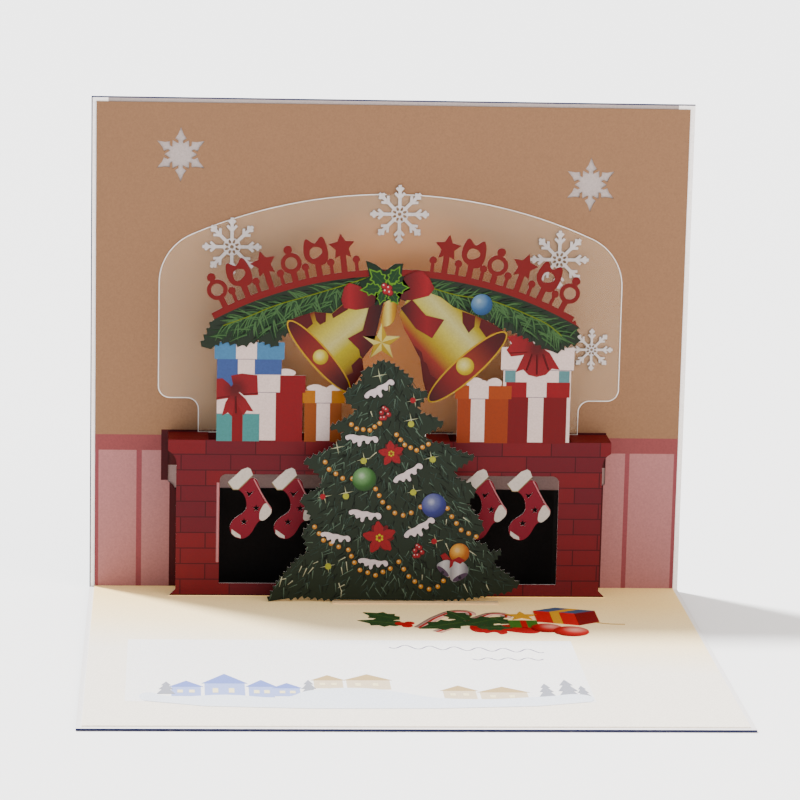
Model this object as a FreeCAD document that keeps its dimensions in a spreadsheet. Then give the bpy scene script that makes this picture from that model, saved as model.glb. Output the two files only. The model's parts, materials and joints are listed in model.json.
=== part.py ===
import FreeCAD, Part
import math
import os

import Sketcher
from FreeCAD import Vector

# A pop-up greetings card, standing open at a right angle.
# The cover is one folded card: its back leaf is upright and its front leaf lies flat.
# The liner is a thinner die-cut sheet pasted into the cover. Its hearth front, shelf
# strips and parcels are cut from the sheet and stand one box step forward of the wall.
# A garland, a tree, a clear arched sheet and lace flakes are pasted onto it.
# X is the width, Y runs back to the wall and Z is up. The origin is the middle of the
# footprint, on the surface the card stands on. Lengths are millimetres.

SIZES = {
    "card_width": 180.0,
    "card_height": 150.0,
    "card_depth": 150.0,
    "cover_thickness": 0.6,
    "spine_radius": 0.5,
    "liner_thickness": 0.4,
    "liner_margin": 1.5,
    "popup_thickness": 0.4,
    "step_depth": 12.0,
    "mantel_height": 48.0,
    "mantel_overhang": 2.5,
    "hearth_width": 128.0,
    "fascia_height": 3.0,
    "bracket_height": 5.0,
    "foot_flare": 2.5,
    "shelf_end_length": 12.0,
    "shelf_gap": 1.0,
    "pillar_width": 13.0,
    "lintel_height": 10.0,
    "window_sill": 4.4,
    "window_corner": 2.0,
    "firebox_height": 31.0,
    "firebox_floor": 9.0,
    "stocking_inset": 9.0,
    "stocking_pitch": 13.2,
    "stocking_star": 1.2,
    "lid_overhang": 0.8,
    "wall_flake_radius": 8.2,
    "wall_flake_arm": 2.3,
    "left_wall_flake_inset": 26.5,
    "left_wall_flake_drop": 17.0,
    "right_wall_flake_inset": 30.8,
    "right_wall_flake_drop": 24.5,
    "screen_width": 139.2,
    "screen_height": 72.9,
    "screen_rise": 17.4,
    "screen_shoulder": 16.0,
    "screen_foot_width": 115.0,
    "screen_foot_height": 10.5,
    "screen_corner": 3.5,
    "screen_thickness": 0.3,
    "flake_thickness": 0.35,
    "lace_flake_radius": 8.8,
    "lace_flake_hub": 2.6,
    "small_flake_radius": 6.4,
    "garland_overlap": 2.2,
    "arch_radius": 113.0,
    "arch_rise": 24.2,
    "arch_half_angle": 28.6,
    "arch_band": 2.0,
    "crest_height": 11.5,
    "crest_pitch": 3.75,
    "crest_stroke": 1.8,
    "tree_height": 73.6,
    "tree_width": 74.0,
    "tree_distance": 18.0,
    "tree_tab_width": 50.0,
    "tree_tab_depth": 2.4,
    "tree_tab_shift": 8.0,
    "brace_width": 20.0,
    "brace_tab": 7.0,
    "brace_drop": 2.0,
}

# Each parcel: its middle in from the mantel's end, its width, its height and its lid.
LEFT_PARCELS = {
    "blue_parcel": (23.9, 19.1, 30.2, 5.2),
    "red_parcel": (29.7, 20.4, 20.2, 5.2),
    "ochre_parcel": (46.1, 11.0, 15.7, 3.7),
}
RIGHT_PARCELS = {
    "orange_parcel": (39.1, 15.4, 17.6, 4.0),
    "crimson_parcel": (22.8, 17.8, 18.8, 4.6),
    "white_parcel": (23.0, 20.3, 29.4, 6.9),
}
PARCEL_SIZES = ("inset", "width", "height", "lid")

# Each bow's span and height, and how far the bows reach down into their lids.
BOWS = {
    "red_parcel": (16, 2.6),
    "ochre_parcel": (10, 2.4),
    "orange_parcel": (11, 3.0),
    "white_parcel": (17, 3.8),
}
BOW_SINK = 0.6

doc = FreeCAD.newDocument("PopUpCard")
sheet = doc.addObject("Spreadsheet::Sheet", "sizes")


def fill_sheet():
    """Writes every driving size to a cell of its own, named by its alias."""
    cells = dict(SIZES)
    for parcel, values in (LEFT_PARCELS | RIGHT_PARCELS).items():
        for part, value in zip(PARCEL_SIZES, values):
            cells[parcel + "_" + part] = value
    for row, (alias, value) in enumerate(cells.items(), 1):
        sheet.set(f"A{row}", alias)
        sheet.set(f"B{row}", str(value))
        sheet.setAlias(f"B{row}", alias)
    doc.recompute()


def size(expression):
    """The value of an expression on the sheet's aliases."""
    value = sheet.evalExpression(expression)
    return float(getattr(value, "Value", value))


fill_sheet()

# Planes of the open card, as expressions on the sheet. The wall and floor are the
# liner's printed faces, and the front is the printed face of the box step.
FLOOR = "(sizes.cover_thickness + sizes.liner_thickness)"
WALL = "(sizes.card_depth / 2 - sizes.cover_thickness - sizes.liner_thickness)"
FRONT = f"({WALL} - sizes.step_depth)"
SHELF = f"({FLOOR} + sizes.mantel_height)"
LINER_WIDTH = "(sizes.card_width - 2 * sizes.liner_margin)"
MANTEL_WIDTH = "(sizes.hearth_width + 2 * sizes.mantel_overhang)"
WINDOW_WIDTH = "(sizes.hearth_width - 2 * sizes.pillar_width)"
GARLAND_FOOT = f"({SHELF} + sizes.blue_parcel_height - sizes.garland_overlap)"


def anticlockwise(points):
    """The same closed outline, run so that its inside lies to the left."""
    following = points[1:] + points[:1]
    turn = sum(x0 * z1 - x1 * z0 for (x0, z0), (x1, z1) in zip(points, following))
    return list(points) if turn > 0 else list(points)[::-1]


def polygon(points):
    """A flat face in the XZ plane inside straight edges."""
    corners = [Vector(x, 0, z) for x, z in anticlockwise(points)]
    return Part.Face(Part.makePolygon(corners + corners[:1]))


def smooth(points):
    """A flat face in the XZ plane inside one closed curve."""
    curve = Part.BSplineCurve()
    corners = [Vector(x, 0, z) for x, z in anticlockwise(points)]
    curve.interpolate(Points=corners, PeriodicFlag=True)
    return Part.Face(Part.Wire([curve.toShape()]))


def disc(x, z, radius):
    """A round face in the XZ plane."""
    return Part.Face(Part.Wire([Part.makeCircle(radius, Vector(x, 0, z), Vector(0, -1, 0))]))


def rectangle(left, right, bottom, top):
    """An upright rectangle in the XZ plane."""
    return polygon([(left, bottom), (right, bottom), (right, top), (left, top)])


def star(x, z, radius, inner=0.42, points=5):
    """A pointed star with one point straight up."""
    corners = []
    for k in range(2 * points):
        reach = radius if k % 2 == 0 else radius * inner
        turn = math.pi * k / points
        corners.append((x + reach * math.sin(turn), z + reach * math.cos(turn)))
    return polygon(corners)


def merged(region):
    """A flat region with the seams between its faces taken out."""
    faces = Part.Shell(region.Faces).removeSplitter().Faces
    return faces[0] if len(faces) == 1 else Part.makeCompound(faces)


def join(faces):
    """One flat region from faces that overlap."""
    return merged(faces[0].fuse(faces[1:]))


def turned(face, angle, x, z):
    """A copy of a face, turned clockwise about its own origin and then moved."""
    copy = face.copy()
    copy.rotate(Vector(0, 0, 0), Vector(0, 1, 0), angle)
    copy.translate(Vector(x, 0, z))
    return copy


def needles(points, pitch, depth):
    """Small pointed teeth to join along the edges of an outline, like pine needles."""
    run = anticlockwise(points)
    teeth = []
    for (x0, z0), (x1, z1) in zip(run, run[1:] + run[:1]):
        length = math.hypot(x1 - x0, z1 - z0)
        along = Vector((x1 - x0) / length, 0, (z1 - z0) / length)
        out = Vector(along.z, 0, -along.x)
        count = max(1, round(length / pitch))
        step = length / count
        for k in range(count):
            root = Vector(x0, 0, z0) + along * (k * step) - out * depth * 0.3
            tip = root + along * step * 0.3 + out * depth * 1.3
            if tip.z > 0:
                teeth.append(polygon([(root.x, root.z), (tip.x, tip.z),
                                      (root.x + along.x * step, root.z + along.z * step)]))
    return teeth


def cut_sheet(name, region, thickness, front, height="0"):
    """A flat region cut from sheet, its printed face at the plane called front."""
    profile = doc.addObject("Part::Feature", name + "_outline")
    profile.Shape = region
    blank = doc.addObject("Part::Extrusion", name)
    blank.Base = profile
    blank.DirMode = "Custom"
    blank.Dir = Vector(0, 1, 0)
    blank.Solid = True
    blank.setExpression("LengthFwd", thickness)
    blank.setExpression(".Placement.Base.y", front)
    blank.setExpression(".Placement.Base.z", height)
    return blank


def block(name, length, width, height, x, y, z):
    """A rectangular piece of sheet, each size and place an expression."""
    box = doc.addObject("Part::Box", name)
    box.setExpression("Length", length)
    box.setExpression("Width", width)
    box.setExpression("Height", height)
    box.setExpression(".Placement.Base.x", x)
    box.setExpression(".Placement.Base.y", y)
    box.setExpression(".Placement.Base.z", z)
    return box


def fused(name, shapes):
    """Pieces of the same sheet, joined."""
    joined = doc.addObject("Part::MultiFuse", name)
    joined.Shapes = shapes
    joined.Refine = True
    return joined


def cut_away(name, base, tool):
    """A sheet with a die-cut opening."""
    cut = doc.addObject("Part::Cut", name)
    cut.Base = base
    cut.Tool = tool
    cut.Refine = True
    return cut


def outline_sketch(body, name, role, corners, arcs=()):
    """A closed sketch drawn anticlockwise, its corners pinned to expressions.

    arcs maps the number of an edge to the expression for its rise.
    """
    sketch = body.newObject("Sketcher::SketchObject", name)
    plane = [item for item in body.Origin.OriginFeatures if item.Role == role][0]
    sketch.AttachmentSupport = [(plane, "")]
    sketch.MapMode = "FlatFace"
    rises = dict(arcs)
    places = [Vector(size(x), size(y), 0) for x, y in corners]
    for edge, start in enumerate(places):
        end = places[(edge + 1) % len(places)]
        if edge in rises:
            middle = (start + end) / 2 + Vector(0, size(rises[edge]), 0)
            sketch.addGeometry(Part.Arc(start, middle, end))
        else:
            sketch.addGeometry(Part.LineSegment(start, end))
    for edge, (x, y) in enumerate(corners):
        after = (edge + 1) % len(corners)
        sketch.addConstraint(Sketcher.Constraint("Coincident", edge, 2, after, 1))
        for kind, distance in (("DistanceX", x), ("DistanceY", y)):
            pin = Sketcher.Constraint(kind, -1, 1, edge, 1, size(distance))
            number = sketch.addConstraint(pin)
            sketch.setExpression(f"Constraints[{number}]", distance)
        if edge in rises:
            half = f"(({x}) - ({corners[after][0]})) / 2"
            rise = rises[edge]
            radius = f"(({half})^2 + ({rise})^2) / (2 * ({rise}))"
            number = sketch.addConstraint(Sketcher.Constraint("Radius", edge, size(radius)))
            sketch.setExpression(f"Constraints[{number}]", radius)
    return sketch


def edges_at(shape, places):
    """Names of the straight edges that stand over the given points of a plate."""
    names = []
    for number, edge in enumerate(shape.Edges, 1):
        middle = edge.CenterOfMass
        flat = Vector(middle.x, 0, middle.z)
        if any(flat.distanceToPoint(place) < 0.01 for place in places):
            names.append(f"Edge{number}")
    return names


def make_cover():
    """The folded card: an upright leaf and a flat leaf with a rounded spine."""
    body = doc.addObject("PartDesign::Body", "cover")
    front = "-sizes.card_depth / 2"
    back = "sizes.card_depth / 2"
    inner = "sizes.card_depth / 2 - sizes.cover_thickness"
    leaf = "sizes.cover_thickness"
    corners = [
        (front, "0"),
        (back, "0"),
        (back, "sizes.card_height"),
        (inner, "sizes.card_height"),
        (inner, leaf),
        (front, leaf),
    ]
    sketch = outline_sketch(body, "cover_section", "YZ_Plane", corners)
    leaves = body.newObject("PartDesign::Pad", "cover_leaves")
    leaves.Profile = sketch
    leaves.SideType = "Symmetric"
    leaves.setExpression("Length", "sizes.card_width")
    doc.recompute()
    spine = [
        f"Edge{number}" for number, edge in enumerate(leaves.Shape.Edges, 1)
        if abs(edge.CenterOfMass.y - size(back)) < 0.01 and abs(edge.CenterOfMass.z) < 0.01
        and abs(edge.CenterOfMass.x) < 0.01
    ]
    fold = body.newObject("PartDesign::Fillet", "cover_spine")
    fold.Base = (leaves, spine)
    fold.setExpression("Radius", "sizes.spine_radius")
    body.Tip = fold
    return body


def hearth_region():
    """The hearth front: straight sides, a mantel on brackets and small flared feet."""
    side = size("sizes.hearth_width / 2")
    mantel = size(f"{MANTEL_WIDTH} / 2")
    top = size("sizes.mantel_height + sizes.liner_thickness")
    fascia = size("sizes.mantel_height - sizes.fascia_height")
    bracket = fascia - size("sizes.bracket_height")
    flare = size("sizes.foot_flare")

    def edge_half(sign):
        """One side from the foot up to the mantel's top corner."""
        hollow = Part.Arc(
            Vector(sign * side, 0, bracket),
            Vector(sign * (side + (mantel - side) * 0.3), 0, bracket + (fascia - bracket) * 0.7),
            Vector(sign * mantel, 0, fascia),
        )
        return [
            Part.LineSegment(Vector(sign * (side + flare), 0, 0), Vector(sign * side, 0, flare)),
            Part.LineSegment(Vector(sign * side, 0, flare), Vector(sign * side, 0, bracket)),
            hollow,
            Part.LineSegment(Vector(sign * mantel, 0, fascia), Vector(sign * mantel, 0, top)),
        ]

    bottom = Part.LineSegment(Vector(-side - flare, 0, 0), Vector(side + flare, 0, 0))
    lintel = Part.LineSegment(Vector(-mantel, 0, top), Vector(mantel, 0, top))
    lines = edge_half(-1) + edge_half(1) + [bottom, lintel]
    edges = Part.sortEdges([line.toShape() for line in lines])[0]
    region = Part.Face(Part.Wire(edges))
    return region if region.normalAt(0, 0).y < 0 else Part.Face(Part.Wire(edges).reversed())


def window_region():
    """The fire opening, its two upper corners rounded."""
    side = size(f"{WINDOW_WIDTH} / 2")
    sill = size("sizes.window_sill")
    top = size("sizes.mantel_height - sizes.lintel_height")
    corner = size("sizes.window_corner")
    body = rectangle(-side, side, sill, top - corner)
    lintel = rectangle(-side + corner, side - corner, top - 2 * corner, top)
    rounds = [disc(sign * (side - corner), top - corner, corner) for sign in (-1, 1)]
    return join([body, lintel] + rounds)


# A stocking hangs from the corner of its cuff. Its points are measured from there.
CUFF = [(-6.6, -2.6), (-5.0, -4.7), (-3.4, -4.7), (0.9, -0.3), (0.2, 1.6), (-0.7, 2.1), (-2.5, 1.4)]
BOOT = [
    (0.6, -1.2),
    (4.4, -8.0),
    (6.7, -10.8),
    (5.6, -13.1),
    (3.0, -14.4),
    (0.6, -18.0),
    (-2.1, -19.8),
    (-5.2, -18.4),
    (-5.8, -16.0),
    (-4.2, -13.4),
    (-1.3, -11.1),
    (-1.0, -8.4),
    (-3.2, -4.9),
]
BOOT_STARS = [(2.0, -10.4), (-1.6, -14.6)]
BOOT_TICK = [(-1.1, -5.3), (-0.2, -6.9), (1.4, -5.0), (0.0, -5.7)]


def stocking_regions():
    """The stockings left hanging in the window, and the shapes punched in them."""
    head = size("sizes.mantel_height - sizes.lintel_height")
    reach = size(f"{WINDOW_WIDTH} / 2 - sizes.stocking_inset")
    inner = reach - size("sizes.stocking_pitch")
    boot = join([polygon(CUFF), smooth(BOOT)])
    punches = [star(x, z, size("sizes.stocking_star")) for x, z in BOOT_STARS]
    punches.append(polygon(BOOT_TICK))
    stockings = []
    holes = []
    for x in (-reach, -inner, inner, reach):
        stockings.append(turned(boot, 0, x, head))
        holes += [turned(punch, 0, x, head) for punch in punches]
    return stockings, holes


def bow_region(x, z, span, height):
    """A ribbon bow: two loops and a knot."""
    half = span / 2
    loops = [
        smooth([(x, z), (x + sign * half * 0.6, z + height), (x + sign * half, z + height * 0.6),
                (x + sign * half * 0.7, z)])
        for sign in (-1, 1)
    ]
    return loops + [disc(x, z + height * 0.3, height * 0.45)]


def parcel_middle(parcel):
    """Where a parcel stands across the shelf."""
    side = -1 if parcel in LEFT_PARCELS else 1
    return side * size(f"{MANTEL_WIDTH} / 2 - sizes.{parcel}_inset")


def parcels_region():
    """The parcels on the shelf: boxes with lids, and the bows that stand above them."""
    overhang = size("sizes.lid_overhang")
    start = size("sizes.mantel_height")
    faces = []
    for parcel in LEFT_PARCELS | RIGHT_PARCELS:
        width, height, lid = [size(f"sizes.{parcel}_{part}") for part in PARCEL_SIZES[1:]]
        middle = parcel_middle(parcel)
        brim = start + height - lid
        half = width / 2
        faces.append(rectangle(middle - half, middle + half, start, brim))
        faces.append(rectangle(middle - half - overhang, middle + half + overhang, brim, start + height))
    for parcel, (span, height) in BOWS.items():
        lift = start + size(f"sizes.{parcel}_height") - BOW_SINK
        faces += bow_region(parcel_middle(parcel), lift, span, height)
    return join(faces)


def wall_flake():
    """A six-armed snowflake punched through the wall: arms with broad leaf tips."""
    radius = size("sizes.wall_flake_radius")
    half = size("sizes.wall_flake_arm / 2")
    arm = polygon([(-half * 0.6, 0), (half * 0.6, 0), (half * 0.6, radius * 0.5),
                   (half * 1.5, radius * 0.58), (half * 0.75, radius * 0.72), (0, radius),
                   (-half * 0.75, radius * 0.72), (-half * 1.5, radius * 0.58),
                   (-half * 0.6, radius * 0.5)])
    leaf = polygon([(0, 0), (half * 1.1, radius * 0.35), (0, radius * 0.6), (-half * 1.1, radius * 0.35)])
    faces = [turned(arm, 60 * k, 0, 0) for k in range(6)]
    faces += [turned(leaf, 60 * k + 30, 0, 0) for k in range(6)]
    return join(faces)


def make_liner():
    """The die-cut sheet: wall, floor, hearth front, shelf strips and parcels in one."""
    paper = "sizes.liner_thickness"
    left = f"-{LINER_WIDTH} / 2"
    inner_back = "sizes.card_depth / 2 - sizes.cover_thickness"
    base = "sizes.cover_thickness"
    wall = block("liner_wall", LINER_WIDTH, paper,
                 f"sizes.card_height - sizes.liner_margin - {base}", left, WALL, base)
    ground = block("liner_floor", LINER_WIDTH,
                   f"{inner_back} + sizes.card_depth / 2 - sizes.liner_margin", paper,
                   left, "sizes.liner_margin - sizes.card_depth / 2", base)
    leaves = fused("liner_leaves", [wall, ground])

    hearth = hearth_region()
    parcels = parcels_region()
    parted = cut_sheet("step_opening", join([hearth, parcels]), "4 * " + paper,
                       f"{WALL} - {paper}", f"{base} - sizes.step_depth")
    well = block("step_well", "sizes.hearth_width", f"sizes.step_depth - {paper}", f"4 * {paper}",
                 "-sizes.hearth_width / 2", f"{FRONT} + {paper}", f"{base} - {paper}")
    strips = block("strip_opening", MANTEL_WIDTH, f"4 * {paper}", "sizes.step_depth",
                   f"-{MANTEL_WIDTH} / 2", f"{WALL} - {paper}", f"{SHELF} - sizes.step_depth - {paper}")
    openings = [parted, well, strips]
    for side, sign in (("left", -1), ("right", 1)):
        inset = f"sizes.{side}_wall_flake_inset"
        punch = cut_sheet(side + "_wall_flake", wall_flake(), "4 * " + paper, f"{WALL} - {paper}",
                          f"sizes.card_height - sizes.{side}_wall_flake_drop")
        punch.setExpression(".Placement.Base.x", f"{sign} * (sizes.card_width / 2 - {inset})")
        openings.append(punch)
    openings = fused("liner_openings", openings)
    opened = cut_away("liner_opened", leaves, openings)

    stockings, holes = stocking_regions()
    face = merged(hearth.cut([window_region()]).fuse(stockings + [parcels])).cut(holes)
    step = cut_sheet("liner_step", face, paper, FRONT, base)
    depth = f"sizes.step_depth + {paper}"
    end = "sizes.shelf_end_length"
    gap = "sizes.lid_overhang + sizes.shelf_gap"
    ochre_end = f"-{MANTEL_WIDTH} / 2 + sizes.ochre_parcel_inset + sizes.ochre_parcel_width / 2 + {gap}"
    orange_end = f"{MANTEL_WIDTH} / 2 - sizes.orange_parcel_inset - sizes.orange_parcel_width / 2 - ({gap})"
    shelves = [
        block("shelf_" + name, length, depth, paper, x, FRONT, f"{SHELF} - {paper}")
        for name, length, x in (
            ("left", end, f"-{MANTEL_WIDTH} / 2"),
            ("middle", f"{orange_end} - ({ochre_end})", ochre_end),
            ("right", end, f"{MANTEL_WIDTH} / 2 - {end}"),
        )
    ]
    return fused("liner", [opened, step] + shelves)


def make_firebox():
    """A black card behind the window, creased onto the floor."""
    card = "sizes.liner_thickness"
    inner_back = "sizes.card_depth / 2 - sizes.cover_thickness"
    left = f"-{WINDOW_WIDTH} / 2"
    base = "sizes.cover_thickness"
    back = block("firebox_back", WINDOW_WIDTH, card, "sizes.firebox_height", left, WALL, base)
    bed = block("firebox_bed", WINDOW_WIDTH, "sizes.firebox_floor", card, left,
                f"{inner_back} - sizes.firebox_floor", base)
    return fused("firebox", [back, bed])


def make_clear_screen():
    """The clear arched sheet that stands against the wall on the shelf strips."""
    body = doc.addObject("PartDesign::Body", "clear_screen")
    half = "sizes.screen_width / 2"
    foot = "sizes.screen_foot_width / 2"
    step = f"{SHELF} + sizes.screen_foot_height"
    shoulder = f"{SHELF} + sizes.screen_height - sizes.screen_rise"
    corners = [
        (f"-{foot}", SHELF),
        (foot, SHELF),
        (foot, step),
        (half, step),
        (half, shoulder),
        (f"-{half}", shoulder),
        (f"-{half}", step),
        (f"-{foot}", step),
    ]
    sketch = outline_sketch(body, "screen_outline", "XZ_Plane", corners, {4: "sizes.screen_rise"})
    plate = body.newObject("PartDesign::Pad", "screen_plate")
    plate.Profile = sketch
    plate.setExpression("Length", "sizes.screen_thickness")
    doc.recompute()
    low = size(step)
    high = size(shoulder)
    lower = [Vector(sign * size(x), 0, low) for sign in (-1, 1) for x in (half, foot)]
    upper = [Vector(sign * size(half), 0, high) for sign in (-1, 1)]
    corner = body.newObject("PartDesign::Fillet", "screen_corners")
    corner.Base = (plate, edges_at(plate.Shape, lower))
    corner.setExpression("Radius", "sizes.screen_corner")
    doc.recompute()
    round_top = body.newObject("PartDesign::Fillet", "screen_shoulders")
    round_top.Base = (corner, edges_at(corner.Shape, upper))
    round_top.setExpression("Radius", "sizes.screen_shoulder")
    body.Tip = round_top
    body.setExpression(".Placement.Base.y", WALL)
    return body


def lace_flake(radius, arms):
    """A snowflake of barbed arms, with a ring of petal openings round its hub."""
    hub = radius * size("sizes.lace_flake_hub / sizes.lace_flake_radius")
    bar = radius * 0.055
    faces = [disc(0, 0, hub)]
    for k in range(arms):
        angle = 360 / arms * k
        faces.append(turned(rectangle(-bar, bar, 0, radius), angle, 0, 0))
        for place, reach in ((0.55, 0.24), (0.78, 0.17)):
            for side in (-1, 1):
                barb = turned(rectangle(-bar * 0.8, bar * 0.8, 0, radius * reach), side * 42, 0,
                              radius * place)
                faces.append(turned(barb, angle, 0, 0))
    flake = join(faces)
    openings = [disc(0, 0, hub * 0.22)]
    for k in range(arms):
        petal = smooth([(0, hub * 0.42), (hub * 0.15, hub * 0.65), (0, hub * 0.88),
                        (-hub * 0.15, hub * 0.65)])
        openings.append(turned(petal, 360 / arms * (k + 0.5), 0, 0))
    return flake.cut(openings)


# Where the lace flakes are pasted, as shares of the clear screen's width and height.
LACE_FLAKES = {
    "snowflake_left": (-0.345, 0.776, "lace_flake_radius"),
    "snowflake_middle": (0.014, 0.919, "lace_flake_radius"),
    "snowflake_right": (0.362, 0.738, "lace_flake_radius"),
    "snowflake_small": (0.438, 0.362, "small_flake_radius"),
}


def make_snowflakes():
    """The lace flakes, face down on the screen."""
    flakes = []
    for name, (across, up, radius) in LACE_FLAKES.items():
        flake = cut_sheet(name, lace_flake(size("sizes." + radius), 8), "sizes.flake_thickness",
                          f"{WALL} - sizes.screen_thickness - sizes.flake_thickness",
                          f"{SHELF} + {up} * sizes.screen_height")
        flake.setExpression(".Placement.Base.x", f"{across} * sizes.screen_width")
        flakes.append(flake)
    return flakes


def arch_point(angle, offset=0.0):
    """A point on the arch, at an angle from its crown and an offset outwards."""
    reach = size("sizes.arch_radius") + offset
    centre = size("sizes.arch_rise - sizes.arch_radius")
    turn = math.radians(angle)
    return reach * math.sin(turn), centre + reach * math.cos(turn)


def crest_heart(tall, stroke):
    """An open heart on a short stem."""
    width = tall * 0.62
    base = tall * 0.28
    heart = smooth([(0, base), (width * 0.5, tall * 0.72), (width * 0.28, tall), (0, tall * 0.86),
                    (-width * 0.28, tall), (-width * 0.5, tall * 0.72)])
    eye = smooth([(0, base + stroke * 1.3), (width * 0.22, tall * 0.7), (0, tall * 0.76),
                  (-width * 0.22, tall * 0.7)])
    return [heart.cut([eye]), rectangle(-stroke / 2, stroke / 2, -1, base + stroke)]


def crest_star(tall, stroke):
    """A five-pointed star on a stem."""
    return [star(0, tall * 0.66, tall * 0.36, 0.5), rectangle(-stroke / 2, stroke / 2, -1, tall * 0.5)]


def crest_loop(tall, stroke):
    """A ring on a stem with a bead on top."""
    radius = tall * 0.27
    middle = tall * 0.48
    ring = disc(0, middle, radius).cut([disc(0, middle, radius - stroke * 0.72)])
    bead = disc(0, middle + radius + stroke * 0.55, stroke * 0.72)
    return [ring, bead, rectangle(-stroke / 2, stroke / 2, -1, middle - radius + stroke * 0.5)]


def crest_bead(tall, stroke):
    """A small bead between two taller figures."""
    return [disc(0, tall * 0.3, stroke * 0.62), rectangle(-stroke * 0.3, stroke * 0.3, -1, tall * 0.3)]


def cresting():
    """The cut-out figures along the top of the arch, mirrored about its middle."""
    tall = size("sizes.crest_height")
    stroke = size("sizes.crest_stroke")
    pitch = size("sizes.crest_pitch")
    last = int((size("sizes.arch_half_angle") - 1) / pitch)
    makers = (crest_heart, crest_loop, crest_star)
    faces = []
    for k in range(2, last + 1):
        for side in (-1, 1):
            x, z = arch_point(side * k * pitch)
            figure = makers[k % 3](tall, stroke)
            faces += [turned(part, side * k * pitch, x, z) for part in figure]
            x, z = arch_point(side * (k - 0.5) * pitch)
            faces += [turned(part, side * (k - 0.5) * pitch, x, z) for part in crest_bead(tall, stroke)]
    return faces


# Outlines on the garland card, measured across and above its foot.
LEFT_PINE = [(-53.7, 8.1), (-57.1, 0.4), (-54.2, -0.4), (-51.2, 2.1), (-44.5, 0.8), (-40.1, 2.6),
             (-34.9, 0.6), (-33.0, 4.0), (-24.0, 8.0), (-12.0, 12.0), (-6.0, 21.0)]
RIGHT_PINE = [(6.0, 22.0), (14.0, 14.0), (25.0, 10.5), (33.5, 6.8), (40.4, 3.8), (46.2, 0.6),
              (49.4, -0.8), (51.5, 1.6), (55.4, 2.6), (54.8, 8.4)]
LEFT_BELL = [(-31.3, 8.3), (-28.7, 9.6), (-23.6, 11.2), (-18.4, 10.7), (-15.0, 13.7), (-7.0, 16.0),
             (-4.5, 8.0), (-5.9, 1.3), (-9.0, -2.8), (-8.5, -6.4), (-10.4, -9.3), (-12.8, -12.7)]
RIGHT_BELL = [(33.8, 5.5), (29.4, 8.3), (23.6, 10.9), (17.9, 13.0), (14.0, 16.0), (6.0, 19.0),
              (1.7, 11.0), (3.1, 6.5), (5.9, 1.7), (8.2, -2.7), (9.2, -9.2), (11.1, -15.6)]
LEFT_MOUTH = (-22.0, -2.2, 14.2, 3.3, 48.6)
RIGHT_MOUTH = (22.4, -5.0, 15.6, 3.8, -42.8)
LEFT_LOOP = [(-4.0, 16.0), (-7.6, 12.2), (-15.3, 13.0), (-15.2, 18.4), (-12.6, 20.0), (-8.9, 17.6)]
RIGHT_LOOP = [(0.5, 16.5), (2.1, 15.2), (10.3, 16.7), (11.8, 19.0), (7.6, 24.0), (3.0, 22.6)]
LEFT_TAIL = [(-3.0, 14.5), (-7.3, 13.4), (-10.7, 5.7), (-13.5, 3.3), (-9.8, -0.3), (-9.0, -2.8),
             (-5.9, 1.3), (-4.6, 7.0)]
HOLLY = [(-8.6, 26.8), (-5.5, 25.6), (-2.9, 23.6), (0.1, 25.9), (2.6, 26.0), (2.0, 22.2), (4.8, 18.4),
         (2.2, 17.0), (1.6, 14.3), (-0.5, 15.3), (-5.7, 13.3), (-5.4, 16.4), (-9.2, 17.3), (-10.4, 20.4),
         (-7.4, 22.0)]
DROP = [(-1.8, 16.0), (0.8, 15.0), (1.0, 12.3), (-1.2, 7.4), (-3.3, 7.4), (-3.3, 11.0), (-2.6, 14.0)]
HANGING_STAR = (-3.4, 2.2, 5.9)
BAUBLE = (27.4, 14.1, 2.4)

# The arch is drawn in straight steps. The pine's upper edges start this many degrees from its crown.
ARCH_STEPS = 24
PINE_STEPS = 6
BOW_HALF_ANGLE = 4

# Pitch and depth of the needles cut into an edge, in millimetres.
PINE_NEEDLES = (2.0, 0.9)
TREE_NEEDLES = (1.9, 0.8)


def bell_mouth(x, z, long_radius, short_radius, lean):
    """The oval mouth of a bell, leaning."""
    oval = Part.Ellipse(Vector(0, 0, 0), long_radius, short_radius)
    face = Part.Face(Part.Wire([oval.toShape()]))
    face.rotate(Vector(0, 0, 0), Vector(1, 0, 0), 90)
    return turned(face, lean, x, z)


def make_garland():
    """One die-cut card: pine arch, red band and cresting, bells, bow, holly and star."""
    ends = size("sizes.arch_half_angle")
    band = size("sizes.arch_band")
    thickness = band * 3
    crown = [arch_point(ends - 2 * ends * k / ARCH_STEPS) for k in range(ARCH_STEPS + 1)]
    under = [arch_point(-ends + 2 * ends * k / ARCH_STEPS, -thickness) for k in range(ARCH_STEPS + 1)]
    arch = polygon(crown + under)
    span = ends - BOW_HALF_ANGLE
    left_top = [arch_point(-BOW_HALF_ANGLE - span * k / PINE_STEPS, -band) for k in range(PINE_STEPS + 1)]
    right_top = [arch_point(ends - span * k / PINE_STEPS, -band) for k in range(PINE_STEPS + 1)]
    faces = [arch, polygon(left_top + LEFT_PINE), polygon(RIGHT_PINE + right_top)]
    faces += needles(LEFT_PINE, *PINE_NEEDLES) + needles(RIGHT_PINE, *PINE_NEEDLES)
    faces += [polygon(LEFT_BELL), polygon(RIGHT_BELL), bell_mouth(*LEFT_MOUTH),
              bell_mouth(*RIGHT_MOUTH), smooth(LEFT_LOOP), smooth(RIGHT_LOOP), polygon(LEFT_TAIL),
              polygon(HOLLY), smooth(DROP), star(*HANGING_STAR), disc(*BAUBLE)]
    region = join(faces + cresting())
    return cut_sheet("garland", region, "sizes.popup_thickness",
                     f"{FRONT} - sizes.popup_thickness", GARLAND_FOOT)


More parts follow.
